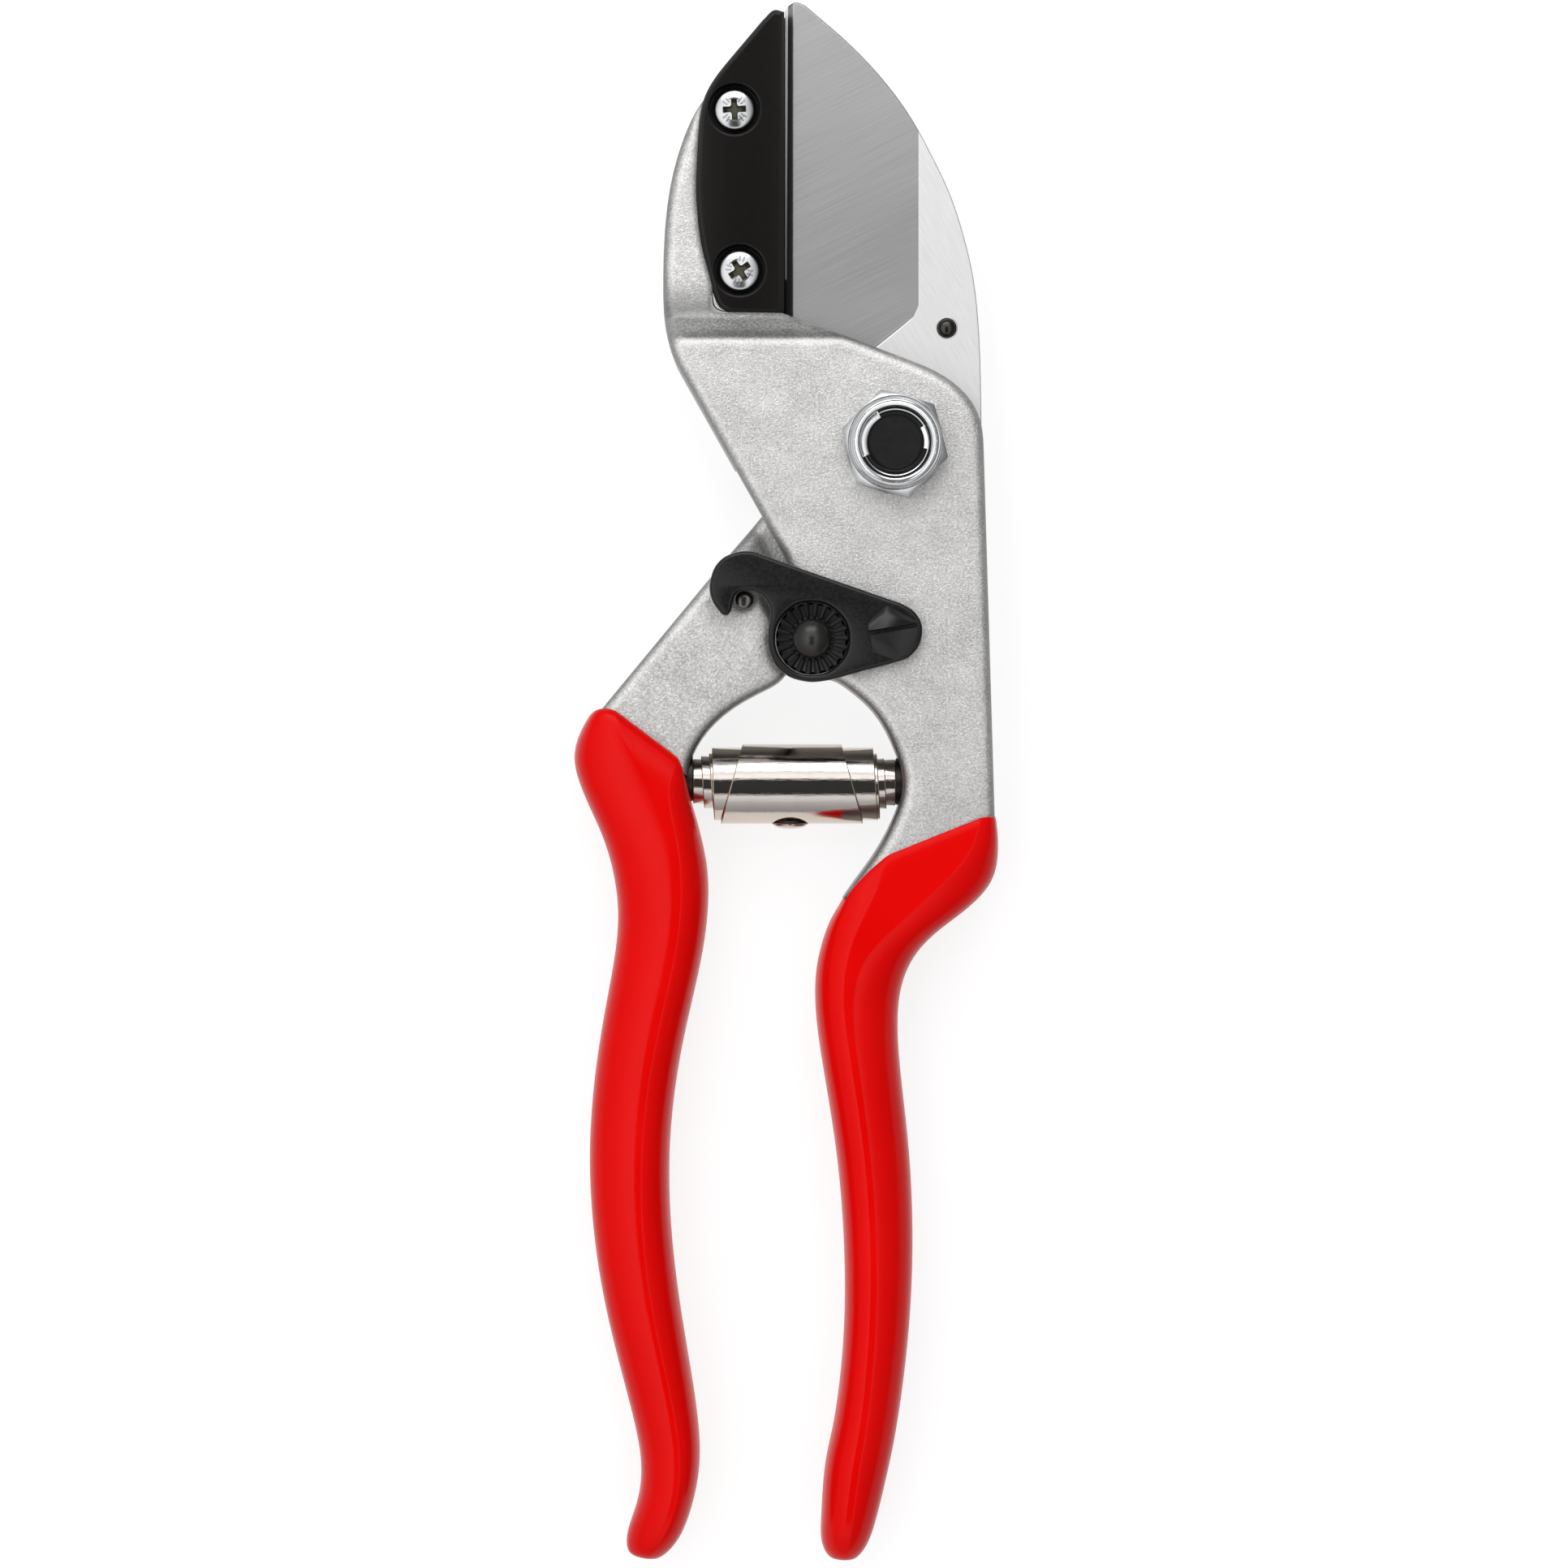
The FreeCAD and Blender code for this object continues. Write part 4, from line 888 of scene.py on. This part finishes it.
def makeTab(name, size):
    start, end, inner, outer = size
    top = nut["tabTop"]
    mesh = bmesh.new()
    section = ((inner, top - 0.5), (outer, top - 0.5), (outer, top), (inner, top - 0.22))
    verts = [mesh.verts.new((radius, 0, z)) for radius, z in section]
    face = mesh.faces.new(verts)
    turn = Matrix.Rotation(math.radians(start), 3, "Z")
    bmesh.ops.rotate(mesh, cent=(0, 0, 0), matrix=turn, verts=mesh.verts)
    bmesh.ops.spin(mesh, geom=[face] + list(face.edges) + verts, cent=(0, 0, 0), axis=(0, 0, 1),
                   angle=math.radians(end - start), steps=24)
    bmesh.ops.holes_fill(mesh, edges=mesh.edges)
    bmesh.ops.recalc_face_normals(mesh, faces=mesh.faces)
    rims = [edge for edge in mesh.edges if len(edge.link_faces) == 2 and edge.calc_face_angle() > 0.8]
    bmesh.ops.bevel(mesh, geom=rims, offset=nut["tabEdge"], offset_type="OFFSET", segments=2, profile=0.5,
                    affect="EDGES", material=-1)
    return addPiece(name, mesh, ringSteel, sharp=30)


nutZinc = brightZinc("nutZinc", paintedGrooveShade, nut["level"])
finishNode(nutZinc, "pivot_nut")
nutPiece = makeNut()
seat = addPiece("thread_seat", spun(nut["seat"] + nut["seat"][:1], (0, 0), 96), leverBlack, sharp=40)
lockRing = addPiece("lock_ring", spun(nut["ring"] + nut["ring"][:1], (0, 0), 128), ringSteel, sharp=50)
tabs = [makeTab(name, size) for name, size in nut["tabs"].items()]
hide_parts("nut_lock_ring")
slots = [(nutPiece, "zinc_nut"), (seat, "black_bolt"), (lockRing, "bright_ring")]
for piece, slotName in slots + [(tab, "bright_ring") for tab in tabs]:
    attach(piece, "blade_side")
print("nut made")


# the anvil's cross-recessed screws
screws = {
    # middle, and how far the recess is turned
    "places": {"anvil_screw_upper": ((-21.9, 46.3), 3), "anvil_screw_lower": ((-21.2, 24.2), 33)},
    "level": 0.74,
    "head": ((1.62, 11.02), (1.9, 10.96), (2.3, 10.86), (2.62, 10.76), (2.82, 10.6), (2.9, 10.35),
             (2.9, 9.8)),
    "cross": ((1.42, 0.40), (0.66, 0.40), (0.48, 0.48), (0.40, 0.66), (0.40, 1.42)),
    "raised": 0.16,
    "deep": 0.8,
    "taper": 0.72,
    "sides": 64,
    # painted shade: the dark colour of the cross recess's walls and floor
    "recess": (0.10, 0.095, 0.065, 1),
    # painted shade: the grey colour in the ticks' small grooves
    "tickShade": (0.3, 0.3, 0.3, 1),
    # the short marks between the recess's arms: where they start and end, half width, place and depth
    "markStart": (0.0011, 0.0013),
    "markEnd": (0.0021, 0.0017),
    "markWidth": (0.00011, 0.00004),
    "markAngle": math.pi / 4 - 0.17,
    "markDepth": 0.00006,
    "tickShadeWeight": 0.5,
}


def screwMarks(middle, turn):
    def dress(tree, color, rough, normal):
        middleMetres = tuple(part * mm for part in middle)
        place = placeOf(tree, middle=(*middleMetres, 0), turn=(0, 0, math.radians(turn)))
        x, y, _ = axes(tree, place)
        away = fromMiddle(tree, middleMetres)
        folded = calc(tree, "PINGPONG", calc(tree, "ARCTAN2", y, x), math.pi / 4)
        offLine = calc(tree, "ABSOLUTE", calc(tree, "SUBTRACT", folded, screws["markAngle"]))
        ring = times(tree, fade(tree, away, *screws["markStart"]), fade(tree, away, *screws["markEnd"]))
        tick = times(tree, fade(tree, times(tree, offLine, away), *screws["markWidth"]), ring)
        # painted shade in the ticks, which the bump also presses in
        color = blendColors(tree, times(tree, tick, screws["tickShadeWeight"]), color, screws["tickShade"])
        return color, rough, bump(tree, tick, -screws["markDepth"], 0.8, normal)
    return dress


def makeScrew(name, middle, turn):
    shine = brightZinc(name + "_zinc", screwMarks(middle, turn), screws["level"])
    curve = bpy.data.curves.new(name, "CURVE")
    curve.dimensions = "2D"
    curve.fill_mode = "FRONT"
    quarter = screws["cross"]
    cross = [(x, y, 0) for x, y in quarter] + [(-y, x, 0) for x, y in quarter]
    cross += [(-x, -y, 0) for x, y in quarter] + [(y, -x, 0) for x, y in quarter]
    radius, top = screws["head"][0]
    angles = [2 * math.pi * side / screws["sides"] for side in range(screws["sides"])]
    rim = [(radius * math.cos(angle), radius * math.sin(angle), 0) for angle in angles]
    for points in (rim, cross):
        spline = curve.splines.new("POLY")
        spline.points.add(len(points) - 1)
        spline.use_cyclic_u = True
        for knot, point in zip(spline.points, points):
            knot.co = (*point, 1)
    mesh = bmesh.new()
    mesh.from_mesh(flatMesh(curve))
    bmesh.ops.remove_doubles(mesh, verts=mesh.verts, dist=0.001)
    inner = [edge for edge in mesh.edges
             if edge.is_boundary and max(vert.co.length for vert in edge.verts) < radius - 0.02]
    bmesh.ops.translate(mesh, vec=(0, 0, top), verts=mesh.verts)
    for vert in {vert for edge in inner for vert in edge.verts}:
        vert.co.z += screws["raised"]
    grown = bmesh.ops.extrude_edge_only(mesh, edges=inner)["geom"]
    low = [part for part in grown if isinstance(part, bmesh.types.BMVert)]
    bmesh.ops.translate(mesh, vec=(0, 0, -screws["deep"]), verts=low)
    bmesh.ops.scale(mesh, vec=(screws["taper"], screws["taper"], 1), verts=low)
    floor = [part for part in grown if isinstance(part, bmesh.types.BMEdge) and part.is_boundary]
    made = bmesh.ops.holes_fill(mesh, edges=floor)["faces"]
    walls = [part for part in grown if isinstance(part, bmesh.types.BMFace)]
    for face in walls + made:
        face.material_index = 1
    turned = Matrix.Rotation(math.radians(turn), 3, "Z")
    bmesh.ops.rotate(mesh, cent=(0, 0, 0), matrix=turned, verts=mesh.verts)
    bmesh.ops.translate(mesh, vec=(*middle, 0), verts=mesh.verts)
    bmesh.ops.recalc_face_normals(mesh, faces=mesh.faces)
    if sum(face.normal.z for face in mesh.faces) < 0:
        bmesh.ops.reverse_faces(mesh, faces=mesh.faces)
    recess = addPiece(name + "_recess", mesh, shine, recessShade, sharp=20)
    head = addPiece(name + "_head", spun(screws["head"], middle, 96), shine, sharp=60)
    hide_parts(name)
    for piece in (recess, head):
        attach(piece, "anvil_side")


# painted shade inside the cross recesses
recessShade = darkMetal("recessShade", screws["recess"], 0.4, 0.6)
for name, (middle, turn) in screws["places"].items():
    makeScrew(name, middle, turn)


# small turned pieces round the blade's dowel
dowel = {
    "place": (7.3, 16.4),
    "dome": ((0.0, 9.95), (0.35, 9.93), (0.75, 9.84), (1.0, 9.7), (1.12, 9.5), (1.14, 9.1)),
    "lip": ((1.37, 9.2), (1.38, 9.42), (1.44, 9.45), (1.52, 9.42), (1.56, 9.36), (1.56, 9.2)),
}
dowelDome = addPiece("dowel_dome", spun(dowel["dome"], dowel["place"], 48), dowelSteel, sharp=60)
lip = spun(dowel["lip"] + dowel["lip"][:1], dowel["place"], 64)
dowelLip = addPiece("dowel_lip", lip, ringSteel, sharp=60)
for piece in (dowelDome, dowelLip):
    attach(piece, "blade_side")
finishNode(dowelSteel, "blade_dowel")
finishNode(leverBlack, "catch_lever", "catch_toothed_washer")


# the anvil's landing edge behind the blade, and the pocket's rounded corner beside its foot
pocket = {
    "strip": ((-15.3, 18.6, 4.9), (-14.72, 59.6, 6.05)),
    "depth": 3,
    "edge": 0.12,
    # name: outline, top
    "corners": {
        "pocket_corner": (((-25.1, 21.9), (-24.93, 20.9), (-24.82, 19.9), (-24.62, 19.3), (-24.25, 18.87),
                           (-23.65, 18.65), (-22.9, 18.55), (-21.8, 18.46), (-22.6, 18.75), (-23.45, 19.3),
                           (-24.1, 20.1), (-24.6, 21.0)), 11.15),
        "pocket_fillet": (((-25.2, 20.7), (-25.2, 18.2), (-22.5, 18.2), (-22.9, 18.5), (-23.68, 18.58),
                           (-24.3, 18.82), (-24.68, 19.27), (-24.88, 19.9), (-24.98, 20.7)), 11.3),
    },
}


def makeStrip():
    low, high = (Vector(corner) for corner in pocket["strip"])
    mesh = bmesh.new()
    bmesh.ops.create_cube(mesh, size=1)
    bmesh.ops.scale(mesh, vec=high - low, verts=mesh.verts)
    bmesh.ops.translate(mesh, vec=(low + high) / 2, verts=mesh.verts)
    bmesh.ops.bevel(mesh, geom=mesh.edges[:], offset=pocket["edge"], offset_type="OFFSET", segments=2,
                    profile=0.5, affect="EDGES", material=-1)
    return addPiece("landing_edge", mesh, leverBlack, sharp=40)


def makePocketCorner(name, outline, top, material):
    mesh = bmesh.new()
    face = mesh.faces.new([mesh.verts.new((x, y, top)) for x, y in outline])
    grown = bmesh.ops.extrude_face_region(mesh, geom=[face])["geom"]
    low = [part for part in grown if isinstance(part, bmesh.types.BMVert)]
    bmesh.ops.translate(mesh, vec=(0, 0, -pocket["depth"]), verts=low)
    bmesh.ops.recalc_face_normals(mesh, faces=mesh.faces)
    rims = [edge for edge in mesh.edges if all(vert.co.z > top - 0.1 for vert in edge.verts)]
    bmesh.ops.bevel(mesh, geom=rims, offset=pocket["edge"], offset_type="OFFSET", segments=3, profile=0.5,
                    affect="EDGES", material=-1)
    return addPiece(name, mesh, material, sharp=60)


# painted shade: the flat fillet piece is mid-grey, standing in for the shading of a rounded fillet
cornerMetals = (darkMetal("cornerMetal", (0.62, 0.62, 0.61, 1), 0.38, 1.0),
                darkMetal("filletShadeMetal", (0.40, 0.40, 0.395, 1), 0.42, 1.0))
corners = [makePocketCorner(name, *size, material)
           for (name, size), material in zip(pocket["corners"].items(), cornerMetals)]
for piece, slotName in [(makeStrip(), "black_anvil")] + [(corner, "cast_aluminium") for corner in corners]:
    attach(piece, "anvil_side")
print("small pieces made")


# camera, light and floor
studio = {
    "cameraHeight": 0.7082,
    "middle": (-0.01509, -0.04629),
    "lens": 36 * 700 / 216,
    "floorSize": 4.0,
    "floorBelow": 0.0002,
    "floorColor": (0.25, 0.25, 0.25, 1),
    "floorGlow": 0.82,
    "sky": ((0.0, 0.40), (0.3, 0.55), (0.5, 0.70), (0.77, 1.15), (0.90, 1.75), (0.97, 1.9)),  # height, level
    "gap": (0.17, 0.05, -0.5, 0.22),  # a dark strip overhead: half width, softness, its two ends
    "gapDepth": 0.97,
    "gapHeight": (0.3, 0.5),
    "rightSide": (0.2, 0.6, 1.04, 0.35),  # the sky dims towards the right
    "lamp": ((-0.05, 0.42, 0.40), (-0.01, -0.02, 0), (0.5, 0.25), 0.9),  # place, aim, size, power
}


def addCamera():
    data = bpy.data.cameras.new("camera")
    data.sensor_width = 36
    data.lens = studio["lens"]
    camera = bpy.data.objects.new("camera", data)
    camera.location = (*studio["middle"], studio["cameraHeight"])
    scene.collection.objects.link(camera)
    scene.camera = camera


def addFloor():
    mesh = bpy.data.meshes.new("floor")
    sheet = bmesh.new()
    bmesh.ops.create_grid(sheet, x_segments=1, y_segments=1, size=studio["floorSize"])
    bmesh.ops.translate(sheet, verts=sheet.verts, vec=(0, 0, cadBounds[0][2] - studio["floorBelow"]))
    sheet.to_mesh(mesh)
    sheet.free()
    floor = bpy.data.objects.new("floor", mesh)
    scene.collection.objects.link(floor)
    material, tree = newTree("paleFloor")
    rays = addNode(tree, "ShaderNodeLightPath")
    seen = calc(tree, "MAXIMUM", rays.outputs["Is Camera Ray"], rays.outputs["Is Glossy Ray"])
    seen = calc(tree, "MAXIMUM", seen, rays.outputs["Is Transmission Ray"])
    matt = addNode(tree, "ShaderNodeBsdfDiffuse", {"Color": studio["floorColor"]})
    glow = addNode(tree, "ShaderNodeEmission", {
        "Color": (1, 1, 1, 1),
        "Strength": times(tree, seen, studio["floorGlow"]),
    })
    both = addNode(tree, "ShaderNodeAddShader", {0: matt.outputs[0], 1: glow.outputs[0]})
    addNode(tree, "ShaderNodeOutputMaterial", {"Surface": both.outputs[0]})
    mesh.materials.append(material)


def addSky():
    world = bpy.data.worlds.new("studio")
    world.use_nodes = True
    scene.world = world
    tree = world.node_tree
    tree.nodes.clear()
    where = addNode(tree, "ShaderNodeTexCoord").outputs["Generated"]
    x, y, z = axes(tree, where)
    ramp = addNode(tree, "ShaderNodeValToRGB", {"Fac": z})
    ramp.color_ramp.interpolation = "EASE"
    stops = ramp.color_ramp.elements
    while len(stops) < len(studio["sky"]):
        stops.new(0.5)
    for stop, (place, level) in zip(stops, studio["sky"]):
        stop.position = place
        stop.color = (level, level, level, 1)
    wide, soft, low, high = studio["gap"]
    gap = times(tree, fade(tree, calc(tree, "ABSOLUTE", x), wide + soft, wide),
                fade(tree, y, high + soft, high), fade(tree, y, low - soft * 2, low),
                fade(tree, z, *studio["gapHeight"]), studio["gapDepth"])
    strength = times(tree, calc(tree, "SUBTRACT", 1.0, gap), fade(tree, x, *studio["rightSide"]))
    sky = addNode(tree, "ShaderNodeBackground", {"Color": ramp.outputs["Color"], "Strength": strength})
    addNode(tree, "ShaderNodeOutputWorld", {"Surface": sky.outputs[0]})


def addLamp(name, place, aim, size, power):
    data = bpy.data.lights.new(name, "AREA")
    data.shape = "RECTANGLE"
    data.size, data.size_y = size
    data.energy = power
    lamp = bpy.data.objects.new(name, data)
    lamp.location = place
    lamp.rotation_euler = (Vector(aim) - Vector(place)).to_track_quat("-Z", "Y").to_euler()
    scene.collection.objects.link(lamp)


addCamera()
addFloor()
addSky()
addLamp("softTop", *studio["lamp"])
print("studio ready")
